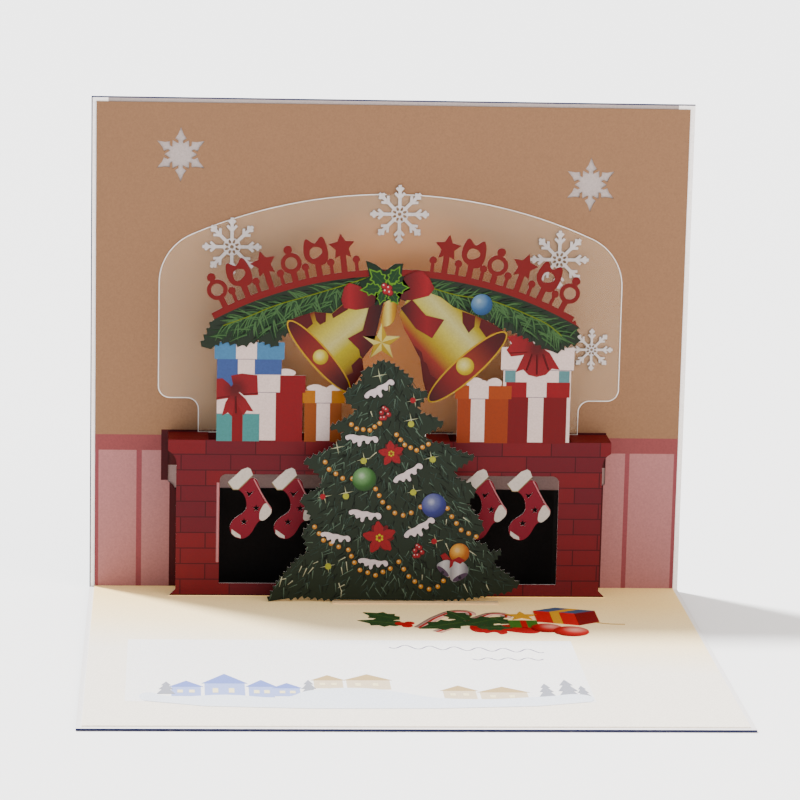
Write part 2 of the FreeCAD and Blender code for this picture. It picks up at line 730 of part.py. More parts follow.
# The tree's outline, as shares of its width from its trunk and of its height.
TREE = [
    (-0.490, 0.000), (-0.352, 0.022), (-0.243, 0.011), (-0.130, 0.010), (0.164, 0.008), (0.302, 0.016),
    (0.486, 0.046), (0.530, 0.078), (0.469, 0.126), (0.415, 0.162), (0.453, 0.217), (0.389, 0.210),
    (0.396, 0.240), (0.318, 0.260), (0.370, 0.293), (0.373, 0.330), (0.307, 0.415), (0.340, 0.458),
    (0.326, 0.494), (0.260, 0.518), (0.252, 0.550), (0.334, 0.609), (0.260, 0.633), (0.211, 0.661),
    (0.162, 0.665), (0.116, 0.692), (0.206, 0.743), (0.160, 0.774), (0.111, 0.785), (0.099, 0.813),
    (0.140, 0.869), (0.056, 0.900), (0.080, 0.920), (0.041, 0.954), (-0.012, 0.992), (-0.055, 1.000),
    (-0.088, 0.974), (-0.122, 0.960), (-0.128, 0.918), (-0.190, 0.873), (-0.190, 0.838), (-0.144, 0.800),
    (-0.160, 0.776), (-0.253, 0.726), (-0.194, 0.708), (-0.207, 0.672), (-0.241, 0.640), (-0.303, 0.611),
    (-0.354, 0.585), (-0.273, 0.515), (-0.287, 0.476), (-0.362, 0.432), (-0.348, 0.397), (-0.312, 0.342),
    (-0.353, 0.288), (-0.342, 0.252), (-0.328, 0.206), (-0.372, 0.181), (-0.448, 0.087), (-0.482, 0.024),
]


def make_tree():
    """The die-cut tree, with a white tab creased forward at its foot."""
    width = size("sizes.tree_width")
    height = size("sizes.tree_height")
    outline = [(x * width, z * height) for x, z in TREE]
    region = join([polygon(outline)] + needles(outline, *TREE_NEEDLES))
    region = region.cut([rectangle(-width, width, -height, 0)])
    front = f"{WALL} - sizes.tree_distance - sizes.popup_thickness"
    card = cut_sheet("tree_card", region, "sizes.popup_thickness", front, FLOOR)
    tab = block("tree_tab", "sizes.tree_tab_width", "sizes.tree_tab_depth + sizes.popup_thickness",
                "sizes.popup_thickness", "sizes.tree_tab_shift - sizes.tree_tab_width / 2",
                f"{front} - sizes.tree_tab_depth", FLOOR)
    return fused("tree", [card, tab])


def make_tree_brace():
    """The folded strip behind the tree that ties it to the hearth front."""
    paper = "sizes.popup_thickness"
    left = "-sizes.brace_width / 2"
    back = f"{WALL} - sizes.tree_distance"
    level = f"{SHELF} - sizes.brace_drop"
    front_tab = block("brace_tree_tab", "sizes.brace_width", paper, "sizes.brace_tab", left, back, level)
    bridge = block("brace_bridge", "sizes.brace_width", "sizes.tree_distance - sizes.step_depth",
                   paper, left, back, level)
    rear_tab = block("brace_hearth_tab", "sizes.brace_width", paper, "sizes.brace_tab", left,
                     f"{FRONT} - {paper}", f"{level} - sizes.brace_tab + {paper}")
    return fused("tree_brace", [front_tab, bridge, rear_tab])


def build():
    """Makes every piece of the card, in the order it is put together."""
    pieces = [make_cover(), make_liner(), make_firebox(), make_clear_screen()]
    pieces += make_snowflakes()
    pieces += [make_garland(), make_tree(), make_tree_brace()]
    doc.recompute()
    return pieces


def write(pieces):
    """Checks every object and writes each piece to a file of its own."""
    failed = [item.Name for item in doc.Objects if {"Invalid", "Error"} & set(item.State)]
    if failed:
        raise RuntimeError("not built: " + ", ".join(failed))
    os.makedirs("parts", exist_ok=True)
    for piece in pieces:
        shape = piece.Shape
        if shape.isNull() or not shape.isValid() or len(shape.Solids) != 1:
            raise RuntimeError(f"{piece.Label} is not one valid solid")
        shape.Solids[0].exportStep(f"parts/{piece.Label}.step")
        print(piece.Label, round(shape.Volume, 1), "mm3")


write(build())
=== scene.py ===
"""A pop-up card standing open at a right angle, with its die-cut winter scene printed in colour.

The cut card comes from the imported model. This file gives each sheet its stock and adds the inks:
flat printed shapes a few hundredths of a millimetre proud of the sheet that carries them.
"""

import json
import math
import random

import bpy
from mathutils import Matrix, Vector

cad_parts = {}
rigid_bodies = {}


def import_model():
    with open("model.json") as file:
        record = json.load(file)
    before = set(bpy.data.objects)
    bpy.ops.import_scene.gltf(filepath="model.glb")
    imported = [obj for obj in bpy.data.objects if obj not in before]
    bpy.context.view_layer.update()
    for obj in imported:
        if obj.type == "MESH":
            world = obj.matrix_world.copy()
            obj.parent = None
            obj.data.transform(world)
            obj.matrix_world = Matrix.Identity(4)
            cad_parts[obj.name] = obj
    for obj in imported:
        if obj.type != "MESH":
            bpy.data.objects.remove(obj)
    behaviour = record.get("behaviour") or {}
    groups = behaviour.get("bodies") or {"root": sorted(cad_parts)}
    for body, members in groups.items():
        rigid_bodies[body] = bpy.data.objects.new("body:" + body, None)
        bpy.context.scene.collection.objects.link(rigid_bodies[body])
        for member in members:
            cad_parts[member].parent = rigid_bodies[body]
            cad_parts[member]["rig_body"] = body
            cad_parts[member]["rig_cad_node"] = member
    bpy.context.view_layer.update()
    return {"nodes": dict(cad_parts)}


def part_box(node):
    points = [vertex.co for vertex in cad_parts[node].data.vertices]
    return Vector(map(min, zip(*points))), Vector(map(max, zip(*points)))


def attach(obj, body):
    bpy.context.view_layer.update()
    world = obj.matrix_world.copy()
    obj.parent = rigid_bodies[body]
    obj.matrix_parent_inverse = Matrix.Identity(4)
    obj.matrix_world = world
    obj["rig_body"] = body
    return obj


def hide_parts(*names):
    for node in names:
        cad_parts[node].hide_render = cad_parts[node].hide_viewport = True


bl_info = {
    "name": "Pop-up Card",
    "version": (1, 0, 0),
    "blender": (4, 5, 0),
    "location": "View3D > Sidebar > Card",
    "description": "Stocks and printed inks of a pop-up card with a hearth, parcels, garland and tree",
    "category": "Object",
}

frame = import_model()
MM = 0.001

# Where a mix node keeps its two colours and their result.
COLOUR_A, COLOUR_B, COLOUR_RESULT = 6, 7, 2

# Shapes of one ink that overlap lie this far apart, in millimetres, so that no two faces coincide.
HAIR = 0.0008

# The paper's fibres in millimetres: their spacing, coarser than real so that it shows, and their relief.
FIBRE, RELIEF = 0.55, 0.02
GLOSS_SWING = 0.08

# Just under the thickness of the cover board, and the dark line along its edges, in millimetres.
BOARD, EDGE = 0.55, 0.35
BLACK = "#060405"

# Matt art paper and uncoated inks give back far less gloss than plastic.
MATT = 0.12

# A gradient is this long, in millimetres, in the direction in which it isn't meant to change.
FAR = 500

# Planes of the sheets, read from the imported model, in millimetres.
COVER_LOW, COVER_HIGH = [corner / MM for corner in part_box("cover")]
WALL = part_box("clear_screen")[1].y / MM
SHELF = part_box("clear_screen")[0].z / MM
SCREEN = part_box("clear_screen")[0].y / MM
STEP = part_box("tree_brace")[1].y / MM
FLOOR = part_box("tree")[0].z / MM
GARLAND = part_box("garland")[0].y / MM
GARLAND_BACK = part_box("garland")[1].y / MM
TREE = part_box("tree_brace")[0].y / MM - (GARLAND_BACK - GARLAND)
TREE_LOW, TREE_HIGH = [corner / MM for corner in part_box("tree")]
FIREBOX_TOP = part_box("firebox")[1].z / MM

# A height inside the clear sheet's outline, from which its rim is traced.
SCREEN_MIDDLE = 85

# The garland card's foot and the arch that its top edge follows.
GARLAND_FOOT = 77.0
ARCH_RADIUS = 113.0
ARCH_RISE = 24.2
ARCH_CENTRE = GARLAND_FOOT + ARCH_RISE - ARCH_RADIUS
BAND = 2.0

# Edges of the print on the wall and the hearth, in millimetres from the card's middle and above the table.
WINDOW_SIDE, WINDOW_FOOT, WINDOW_TOP = 51.0, 5.2, 38.6
STOCKING_PLACES = (-42.0, -28.8, 28.8, 42.0)
PANEL_TOP, RAIL_TOP = 43.2, 48.0
BOARDS = ((-76.0, -74.4), (72.4, 73.8), (-88.6, -87.4), (87.4, 88.6))
MANTEL_LEFT, MANTEL_RIGHT, MANTEL_FOOT = -68.6, 66.4, 34.0
OPENING_SIDE, OPENING_TOP = 66.0, 49.6

# The warm light printed on the wall: its middle and its reach each way.
GLOW_MIDDLE, GLOW_REACH = (2, 0, 76), (46, FAR, 44)

# Where a course of bricks starts, left of the card's middle and below the table.
BRICK_START = (3.4, 3.4, 0)

# The white cover is painted this far out with the shade it shows through the liner, and painted grey as
# flakes above this height.
COVER_SHADE_SIDE = 85.0
FLAKES_FOOT = 95.0


class Sheet:
    """A face that takes print: its plane, slot (not used), roughness, the foot of its drawing, and if it lies
    flat.
    """

    def __init__(self, plane, slot, roughness, foot=0.0, flat=False):
        self.plane = plane
        self.slot = slot
        self.roughness = roughness
        self.foot = foot
        self.flat = flat


FILM_FACE = Sheet(SCREEN, "clear_film", 0.3)
HEARTH_FACE = Sheet(STEP, "printed_card", 0.6)
FLOOR_FACE = Sheet(FLOOR, "printed_card", 0.6, flat=True)
GARLAND_FACE = Sheet(GARLAND, "garland_card", 0.5, GARLAND_FOOT)
TREE_FACE = Sheet(TREE, "tree_card", 0.5)


# Helpers for colour, materials and printed shapes.


def linear(code):
    """The linear colour of an sRGB hex value."""
    channels = [int(code[k:k + 2], 16) / 255 for k in (1, 3, 5)]
    toe = 0.04045
    return tuple(c / 12.92 if c <= toe else ((c + 0.055) / 1.055) ** 2.4 for c in channels) + (1.0,)


def add_node(material, kind, values=None, **settings):
    """Adds a node, gives it its settings, and sets or links its inputs."""
    node = material.node_tree.nodes.new(kind)
    for key, value in settings.items():
        setattr(node, key, value)
    for key, value in (values or {}).items():
        if isinstance(value, bpy.types.NodeSocket):
            material.node_tree.links.new(value, node.inputs[key])
        else:
            node.inputs[key].default_value = value
    return node


def stock(name, colour, roughness=0.6, mottle=0.11, **values):
    """A card or an ink on it: its colour is a hex value, or a function that gives a socket."""
    material = bpy.data.materials.new(name)
    material.use_nodes = True
    shader = material.node_tree.nodes["Principled BSDF"]
    shader.inputs["Roughness"].default_value = roughness
    shader.inputs["Specular IOR Level"].default_value = MATT
    for key, value in values.items():
        shader.inputs[key.replace("_", " ")].default_value = value
    tone = colour(material) if callable(colour) else linear(colour)
    if not mottle:
        shader.inputs["Base Color"].default_value = tone
        return material
    # Paper fibres and the press's fine screen make each ink a little uneven, in colour, gloss and height.
    fibre = add_node(material, "ShaderNodeTexNoise", {
        "Vector": place_on(material), "Scale": 1 / FIBRE, "Detail": 3.0, "Roughness": 0.7}).outputs["Fac"]
    uneven = {"Value": fibre, "From Min": 0.3, "From Max": 0.7}
    shade = add_node(material, "ShaderNodeMapRange", {**uneven, "To Min": 1 - mottle, "To Max": 1 + mottle})
    gloss = add_node(material, "ShaderNodeMapRange", {
        **uneven, "To Min": roughness - GLOSS_SWING, "To Max": roughness + GLOSS_SWING})
    tinted = add_node(material, "ShaderNodeMix", {
        "Factor": 1.0, COLOUR_A: tone, COLOUR_B: shade.outputs["Result"],
    }, data_type="RGBA", blend_type="MULTIPLY")
    relief = add_node(material, "ShaderNodeBump", {
        "Height": fibre, "Strength": 0.25, "Distance": RELIEF * MM})
    results = {"Base Color": tinted.outputs[COLOUR_RESULT], "Roughness": gloss.outputs["Result"],
               "Normal": relief.outputs["Normal"]}
    for socket, result in results.items():
        material.node_tree.links.new(result, shader.inputs[socket])
    return material


def place_on(material, centre=(0, 0, 0), turn=0.0, size=(1, 1, 1)):
    """Object coordinates measured from a centre in millimetres, turned in the sheet and divided by a size."""
    spot = add_node(material, "ShaderNodeTexCoord").outputs["Object"]
    return add_node(material, "ShaderNodeMapping", {
        "Vector": spot,
        "Location": [value * MM for value in centre],
        "Rotation": (0, math.radians(turn), 0),
        "Scale": [value * MM for value in size],
    }, vector_type="TEXTURE").outputs["Vector"]


def ramp(material, factor, stops, interpolation="LINEAR"):
    """A colour ramp through stops of place and hex colour."""
    node = add_node(material, "ShaderNodeValToRGB", {"Fac": factor})
    node.color_ramp.interpolation = interpolation
    elements = node.color_ramp.elements
    while len(elements) < len(stops):
        elements.new(1.0)
    for element, (place, code) in zip(elements, stops):
        element.position = place
        element.color = linear(code)
    return node.outputs["Color"]


def arithmetic(material, operation, *values):
    """One step of arithmetic on lengths or masks."""
    return add_node(material, "ShaderNodeMath", dict(enumerate(values)), operation=operation).outputs[0]


def over(material, value, edge):
    """A mask: one where a length in millimetres is above an edge."""
    return arithmetic(material, "GREATER_THAN", value, edge)


def under(material, value, edge):
    """A mask: one where a length in millimetres is below an edge."""
    return arithmetic(material, "LESS_THAN", value, edge)


def both(material, first, second):
    """Both masks at once."""
    return arithmetic(material, "MULTIPLY", first, second)


def either(material, first, second):
    """At least one of two masks."""
    return arithmetic(material, "MAXIMUM", first, second)


def between(material, value, low, high):
    """A mask: one where a length in millimetres lies between two edges."""
    return both(material, over(material, value, low), under(material, value, high))


def axes(material):
    """Across, deep and high: the object coordinates in millimetres."""
    spot = add_node(material, "ShaderNodeSeparateXYZ", {"Vector": place_on(material)})
    return [spot.outputs[axis] for axis in "XYZ"]


def mixed(material, factor, first, second):
    """The first colour, covered by the second where the factor is one."""
    first, second = [linear(value) if isinstance(value, str) else value for value in (first, second)]
    return add_node(material, "ShaderNodeMix", {"Factor": factor, COLOUR_A: first, COLOUR_B: second},
                    data_type="RGBA").outputs[COLOUR_RESULT]


def shaded(name, kind, sheet, start, length, stops, turn=0.0, roughness=0.45):
    """An ink that changes along a line or outwards, from a start and over a length."""
    across, up = start
    if sheet.flat:
        centre, size = (across, up, sheet.plane), (length, length, FAR)
    else:
        centre, size = (across, 0, up + sheet.foot), (length, FAR, length)

    def tone(material):
        place = place_on(material, centre, turn, size)
        share = add_node(material, "ShaderNodeTexGradient", {"Vector": place}, gradient_type=kind)
        return ramp(material, share.outputs["Fac"], stops)

    return stock("ink_" + name, tone, roughness)


def join_all(name, parts):
    """Joins meshes into one piece."""
    bpy.ops.object.select_all(action="DESELECT")
    for part in parts:
        part.select_set(True)
    bpy.context.view_layer.objects.active = parts[0]
    if len(parts) > 1:
        bpy.ops.object.join()
    parts[0].name = name
    return parts[0]


def outline_curve(outlines, foot, smooth, closed=True):
    """One curve with a spline for each outline, drawn flat and measured from a foot."""
    bpy.ops.object.select_all(action="DESELECT")
    bpy.ops.curve.primitive_bezier_circle_add(radius=1)
    piece = bpy.context.object
    piece.data.splines.clear()
    piece.data.resolution_u = 5 if smooth else 1
    for outline in outlines:
        spline = piece.data.splines.new("BEZIER")
        spline.bezier_points.add(len(outline) - 1)
        for point, (across, up) in zip(spline.bezier_points, outline):
            point.co = (across * MM, (up + foot) * MM, 0)
            point.handle_left_type = point.handle_right_type = "AUTO" if smooth else "VECTOR"
        spline.use_cyclic_u = closed
    return piece


def lay(piece, sheet, height):
    """Turns a flat drawing to a mesh and stands it on an upright sheet, or lays it on the floor sheet."""
    bpy.ops.object.convert(target="MESH")
    if sheet.flat:
        piece.location = (0, 0, (sheet.plane + height / 2) * MM)
    else:
        piece.rotation_euler = (math.pi / 2, 0, 0)
        piece.location = (0, (sheet.plane - height / 2) * MM, 0)
    bpy.ops.object.transform_apply(location=True, rotation=True, scale=True)


def dress(piece, material):
    """Gives a finished piece its ink and attaches it to the root body."""
    piece.data.materials.clear()
    piece.data.materials.append(material)
    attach(piece, "root")


def ink_of(name, ink, roughness):
    """A piece's ink: one that is made already, or a new one of a hex colour."""
    return stock("ink_" + name, ink, roughness) if isinstance(ink, str) else ink


def printed(name, outlines, ink, sheet, layer=1, roughness=None, smooth=False):
    """Filled shapes of one ink on a sheet; a higher layer lies over a lower one."""
    height = layer * bpy.context.scene.card_sizes.ink / MM
    parts = []
    for number, outline in enumerate(outlines):
        piece = outline_curve([outline], sheet.foot, smooth)
        piece.data.dimensions = "2D"
        piece.data.fill_mode = "BOTH"
        rise = height + number * HAIR
        piece.data.extrude = rise / 2 * MM
        lay(piece, sheet, rise)
        parts.append(piece)
    dress(join_all(name, parts), ink_of(name, ink, roughness or sheet.roughness))


def strokes(name, lines, width, ink, sheet, layer=1, roughness=None, taper=False, smooth=True):
    """Thin lines of ink, which a taper brings to a point."""
    height = layer * bpy.context.scene.card_sizes.ink / MM
    piece = outline_curve(lines, sheet.foot, smooth, closed=False)
    piece.data.resolution_u = 3 if smooth else 1
    piece.data.dimensions = "3D"
    piece.data.bevel_depth = width / 2 * MM
    piece.data.bevel_resolution = 0
    piece.data.use_fill_caps = True
    if taper:
        for spline in piece.data.splines:
            spline.bezier_points[-1].radius = 0.25
    piece.scale = (1, 1, height / width)
    lay(piece, sheet, height)
    dress(join_all(name, [piece]), ink_of(name, ink, roughness or sheet.roughness))


def ball(name, x, z, radius, shift, glow, stops, sheet, layer=9, sides=24):
    """A glossy ball: a disc that is shaded outwards from a light spot, shifted from its middle."""
    spot = (x + shift[0], z + shift[1])
    glass = shaded(name, "SPHERICAL", sheet, spot, radius * glow, stops)
    printed(name, [disc(x, z, radius, sides)], glass, sheet, layer)


def disc(x, z, radius, sides=24):
    """Points round a circle."""
    return oval(x, z, radius, radius, 0, sides)


def oval(x, z, long_radius, short_radius, lean, sides=36):
    """Points round an oval that leans by an angle, anticlockwise from level."""
    turn = math.radians(lean)
    points = []
    for k in range(sides):
        angle = 2 * math.pi * k / sides
        a, b = long_radius * math.cos(angle), short_radius * math.sin(angle)
        points.append((x + a * math.cos(turn) - b * math.sin(turn),
                       z + a * math.sin(turn) + b * math.cos(turn)))
    return points


def spots(places, radius, sides=14, shift=(0, 0)):
    """A disc at each place, all shifted alike."""
    return [disc(x + shift[0], z + shift[1], radius, sides) for x, z in places]


def star(x, z, radius, inner=0.42, arms=5, lean=0.0):
    """A star with a point upwards, leaning by an angle."""
    points = []
    for k in range(2 * arms):
        reach = radius if k % 2 == 0 else radius * inner
        angle = math.pi * k / arms + math.radians(lean)
        points.append((x - reach * math.sin(angle), z + reach * math.cos(angle)))
    return points


def box(left, right, low, high):
    """A rectangle."""
    return [(left, low), (right, low), (right, high), (left, high)]


def moved(points, x, z, lean=0.0, size=1.0):
    """A shape turned by an angle, scaled and moved."""
    turn = math.radians(lean)
    return [(x + size * (a * math.cos(turn) - b * math.sin(turn)),
             z + size * (a * math.sin(turn) + b * math.cos(turn))) for a, b in points]


def on_card(node, sheet, x, z):
    """True where an upright sheet has card and not air."""
    start = Vector((x, sheet.plane - 1, z + sheet.foot)) * MM
    return frame["nodes"][node].ray_cast(start, Vector((0, 1, 0)), distance=2 * MM)[0]


def along(points, pitch):
    """Places at a pitch along a line, each with the line's direction."""
    places = []
    for (x0, z0), (x1, z1) in zip(points, points[1:]):
        count = max(1, round(math.hypot(x1 - x0, z1 - z0) / pitch))
        for k in range(count):
            share = k / count
            places.append((x0 + (x1 - x0) * share, z0 + (z1 - z0) * share, math.atan2(z1 - z0, x1 - x0)))
    return places


def berries(name, places, radius, sheet, layer):
    """Red berries, each with a dark rim and a light spot."""
    printed(name + "_rims", spots(places, radius), "#380205", sheet, layer)
    printed(name, spots(places, radius * 0.78, 14, (-0.05, 0.08)), "#6A0811", sheet, layer + 1, 0.45)
    lights = spots(places, radius * 0.26, 8, (-radius * 0.3, radius * 0.35))
    printed(name + "_lights", lights, "#96807D", sheet, layer + 2, 0.4)


def coat(node, material):
    """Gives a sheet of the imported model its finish."""
    for place in frame["nodes"][node].material_slots:
        place.material = material


class CardSizes(bpy.types.PropertyGroup):
    """Sizes of the print."""

    ink: bpy.props.FloatProperty(
        name="Ink", description="How far one layer of printing stands off its sheet",
        default=0.03 * MM, unit="LENGTH")
    brick_length: bpy.props.FloatProperty(
        name="Brick length", description="Length of a printed brick", default=14.8 * MM, unit="LENGTH")
    brick_course: bpy.props.FloatProperty(
        name="Brick course", description="Height of a course of bricks", default=4.8 * MM, unit="LENGTH")
    needle: bpy.props.FloatProperty(
        name="Needle", description="Length of a printed pine needle", default=4.6 * MM, unit="LENGTH")
    bead: bpy.props.FloatProperty(
        name="Bead", description="Radius of a bead on the tree's strings", default=0.82 * MM, unit="LENGTH")


class CardColours(bpy.types.PropertyGroup):
    """Colours of the stocks and of the main inks."""

    navy: bpy.props.StringProperty(name="Navy", description="Outside of the cover", default="#171B3E")
    white: bpy.props.StringProperty(name="White", description="Bare white card", default="#ECE9E8")
    wall: bpy.props.StringProperty(name="Wall", description="Upper wall print", default="#71533C")
    glow: bpy.props.StringProperty(name="Glow", description="Warm light behind the bells", default="#D08342")
    rail: bpy.props.StringProperty(name="Rail", description="Rail over the lower wall", default="#6C3436")
    panel: bpy.props.StringProperty(name="Panel", description="Lower wall print", default="#895B5C")
    brick: bpy.props.StringProperty(name="Brick", description="Hearth bricks", default="#500A11")
    mortar: bpy.props.StringProperty(name="Mortar", description="Joints of the bricks", default="#27030A")
    pine: bpy.props.StringProperty(name="Pine", description="Ground of the pine print", default="#111A10")
    red: bpy.props.StringProperty(name="Red", description="Red of ribbons and stockings", default="#560517")


def colour(name):
    """A colour that the user may change."""
    return getattr(bpy.context.scene.card_colours, name)


def glowing_wall(material):
    """The upper wall's beige, with the warm light printed behind the bells."""
    middle = place_on(material, GLOW_MIDDLE, 0, GLOW_REACH)
    light = add_node(material, "ShaderNodeTexGradient", {"Vector": middle}, gradient_type="SPHERICAL")
    return mixed(material, light.outputs["Fac"], colour("wall"), colour("glow"))


class CARD_OT_cover(bpy.types.Operator):
    """Folded cover board: white inside, dark blue outside"""

    bl_idname = "card.cover"
    bl_label = "Cover"

    def execute(self, context):
        # Coated board about 0.6 mm thick, offset printed on one side: an even, slightly soft sheen.
        def sides(material):
            across, deep, high = axes(material)
            upright = over(material, deep, WALL)
            # What shows through the liner's openings is white card painted as it looks in shade: grey in the
            # flake holes, the wall's beige and glow, and pinkish grey, dark red and black inside the hearth.
            seen = mixed(material, over(material, high, FLAKES_FOOT), glowing_wall(material), "#8F8583")
            for top, code in ((SHELF - 0.2, "#3A0509"), (WINDOW_TOP, "#7E6866"), (FIREBOX_TOP, BLACK)):
                seen = mixed(material, under(material, high, top), seen, code)
            near = under(material, arithmetic(material, "ABSOLUTE", across), COVER_SHADE_SIDE)
            result = mixed(material, both(material, near, upright), colour("white"), seen)
            # The dark outside shows as a hair along the top and left edges of the upright leaf.
            hair = either(material, over(material, high, COVER_HIGH.z - EDGE),
                          under(material, across, COVER_LOW.x + EDGE))
            outside = either(material, over(material, deep, COVER_HIGH.y - BOARD),
                             under(material, high, COVER_LOW.z + BOARD))
            outside = either(material, outside, both(material, hair, upright))
            return mixed(material, outside, result, colour("navy"))

        coat("cover", stock("coated_cover_board", sides, 0.5))
        return {"FINISHED"}


class CARD_OT_liner(bpy.types.Operator):
    """Printed liner: wall, wainscot, brick hearth, shelf and floor"""

    bl_idname = "card.liner"
    bl_label = "Liner"

    def execute(self, context):
        # Matt art paper about 0.4 mm thick with flat offset inks: colour fields with soft edges.
        def fields(material):
            across, deep, high = axes(material)
            aside = arithmetic(material, "ABSOLUTE", across)
            # Each sheet is printed on its front only.
            on_step = under(material, deep, STEP + 0.2)
            on_shelf = both(material, over(material, deep, STEP + 0.2),
                            between(material, high, SHELF - 0.5, SHELF + 0.02))
            on_ground = under(material, high, FLOOR + 0.2)
            on_wall = both(material, over(material, deep, WALL - 0.2), over(material, high, FLOOR))
            result = mixed(material, on_step, colour("white"), self.hearth(material, across, aside, high))
            result = mixed(material, on_shelf, result, "#5C0709")
            result = mixed(material, on_ground, result, self.ground(material, across, deep))
            return mixed(material, on_wall, result, self.wall(material, across, aside, high))

        coat("liner", stock("printed_art_paper", fields, 0.62))
        return {"FINISHED"}

    def wall(self, material, across, aside, high):
        """The wall, its wainscot with upright boards, and the dark red print round the step's opening."""
        below_rail = under(material, high, PANEL_TOP)
        wainscot = mixed(material, below_rail, colour("rail"), colour("panel"))
        for left, right in BOARDS:
            board = both(material, between(material, across, left, right), below_rail)
            wainscot = mixed(material, board, wainscot, "#6E343A")
        result = mixed(material, under(material, high, RAIL_TOP), glowing_wall(material), wainscot)
        by_mantel = both(material, between(material, across, MANTEL_LEFT, MANTEL_RIGHT),
                         over(material, high, MANTEL_FOOT))
        opening = either(material, under(material, aside, OPENING_SIDE), by_mantel)
        opening = both(material, opening, under(material, high, OPENING_TOP))
        return mixed(material, opening, result, "#33060C")

    def ground(self, material, across, deep):
        """The floor, deep yellow by the wall and on the right where the upright leaf shades it, and paler
        towards the front: painted warm shade.
        """
        slope = arithmetic(material, "MULTIPLY_ADD", across, 0.16, deep)
        far = add_node(material, "ShaderNodeMapRange", {"Value": slope, "From Min": -10.0, "From Max": 66.0})
        return ramp(material, far.outputs["Result"], [(0.0, "#F8F0E2"), (0.45, "#FFE9B8"), (1.0, "#FFDA8E")])

    def hearth(self, material, across, aside, high):
        """Bricks, with red in the window for the stockings, and above for the parcels white card painted
        greyish pink as painted shade.
        """
        sizes = bpy.context.scene.card_sizes
        flat = add_node(material, "ShaderNodeCombineXYZ", {"X": across, "Y": high}).outputs["Vector"]
        courses = add_node(material, "ShaderNodeVectorMath", {0: flat, 1: BRICK_START}, operation="ADD")
        bricks = add_node(material, "ShaderNodeTexBrick", {
            "Vector": courses.outputs["Vector"],
            "Color1": linear(colour("brick")), "Color2": linear("#3B0A16"),
            "Mortar": linear(colour("mortar")), "Scale": 1.0, "Mortar Size": 0.3, "Mortar Smooth": 1.0,
            "Bias": -0.35, "Brick Width": sizes.brick_length / MM, "Row Height": sizes.brick_course / MM,
        }, offset=0.5).outputs["Color"]
        hung = both(material, under(material, aside, WINDOW_SIDE - 2),
                    between(material, high, WINDOW_FOOT, WINDOW_TOP))
        front = mixed(material, hung, bricks, colour("red"))
        # Above the shelf the parcels' white card is painted greyish pink: painted shade.
        return mixed(material, over(material, high, SHELF + 0.02), front, "#A89793")


class CARD_OT_plain_sheets(bpy.types.Operator):
    """The sheets of one colour: firebox, film, snowflakes and brace"""

    bl_idname = "card.plain_sheets"
    bl_label = "Plain Sheets"

    def execute(self, context):
        # Black card, dyed through and uncoated: it gives back hardly any light.
        coat("firebox", stock("black_card", BLACK, 0.85))
        coat("tree_brace", stock("white_card", colour("white"), 0.65))
        # Lacy flakes cut from white card with a laser, painted grey all over as painted shade.
        flake = stock("laser_cut_white_card", "#A6A1A1", 0.7)
        for node in ("snowflake_left", "snowflake_middle", "snowflake_right", "snowflake_small"):
            coat(node, flake)
        # Clear film, nearly invisible: a thin warm veil and hardly any gloss.
        film = stock("clear_film", "#FFE7C4", 0.3, mottle=0, Alpha=0.05, Specular_IOR_Level=0.05)
        bpy.ops.object.select_all(action="DESELECT")
        packed = frame["nodes"]["clear_screen"]
        packed.select_set(True)
        context.view_layer.objects.active = packed
        bpy.ops.object.duplicate()
        sheet = context.object
        sheet.name = "clear_film_sheet"
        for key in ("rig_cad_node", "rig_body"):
            if key in sheet:
                del sheet[key]
        sheet.parent = None
        bpy.ops.object.mode_set(mode="EDIT")
        bpy.ops.mesh.select_all(action="SELECT")
        bpy.ops.mesh.remove_doubles(threshold=0.001 * MM)
        bpy.ops.object.mode_set(mode="OBJECT")
        # Its back stays a tenth of its thickness off the wall, because two faces in one place flicker.
        thinner = 0.9
        sheet.scale = (1, thinner, 1)
        sheet.location = (0, SCREEN * (1 - thinner) * MM, 0)
        bpy.ops.object.transform_apply(location=True, rotation=True, scale=True)
        dress(sheet, film)
        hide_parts("clear_screen")

        # The cut edge of the film catches light along its whole length.
        rim = {(round(v.co.x / MM, 2), round(v.co.z / MM, 2)) for v in packed.data.vertices
               if v.co.y / MM < SCREEN + 0.1}
        rim = sorted(rim, key=lambda point: math.atan2(point[0], SCREEN_MIDDLE - point[1]))
        bright = stock("cut_film_edge", "#FFFFFF", 0.3, mottle=0, Alpha=0.45)
        strokes("screen_edge", [rim], 0.3, bright, FILM_FACE, smooth=False)
        return {"FINISHED"}


# Each parcel's fields of colour on the hearth front: left, right, low, high.
PARCEL_FIELDS = {
    "light_blue": ("#2E5575", [(-53.0, -46.6, 73.6, 78.8), (-40.4, -32.2, 73.6, 78.8)]),
    "blue": ("#283964", [(-52.2, -46.0, 62.4, 73.6), (-41.0, -33.0, 69.0, 73.6)]),
    "teal": ("#2E5F60", [(-52.2, -47.6, 48.7, 57.0), (-44.4, -39.4, 48.7, 57.0)]),
    "ribbon_red": ("#55050B", [(-47.6, -44.4, 48.7, 61.0)]),
    "parcel_red": ("#58050C", [(-34.6, -26.6, 48.7, 63.6), (-33.4, -25.8, 63.6, 68.8)]),
    "ochre_lid": ("#794800", [(-26.7, -22.8, 60.5, 64.3), (-18.0, -14.0, 60.5, 64.3)]),
    "ochre": ("#642E06", [(-26.0, -22.4, 48.7, 60.5), (-18.4, -14.9, 48.7, 60.5)]),
    "orange_lid": ("#6D2A07", [(18.9, 23.2, 62.2, 66.2), (29.0, 35.9, 62.2, 66.2)]),
    "orange": ("#652306", [(19.7, 23.8, 48.7, 62.2), (28.0, 35.0, 48.7, 62.2)]),
    "crimson_lid": ("#5F060E", [(34.2, 40.4, 62.8, 67.4), (46.4, 53.4, 62.8, 67.4)]),
    "crimson": ("#4C0409", [(34.9, 41.0, 48.7, 62.8), (45.6, 52.6, 48.7, 62.8)]),
    "teal_strip": ("#3C5E62", [(33.8, 37.0, 67.4, 70.9), (50.0, 53.2, 67.4, 70.9)]),
}
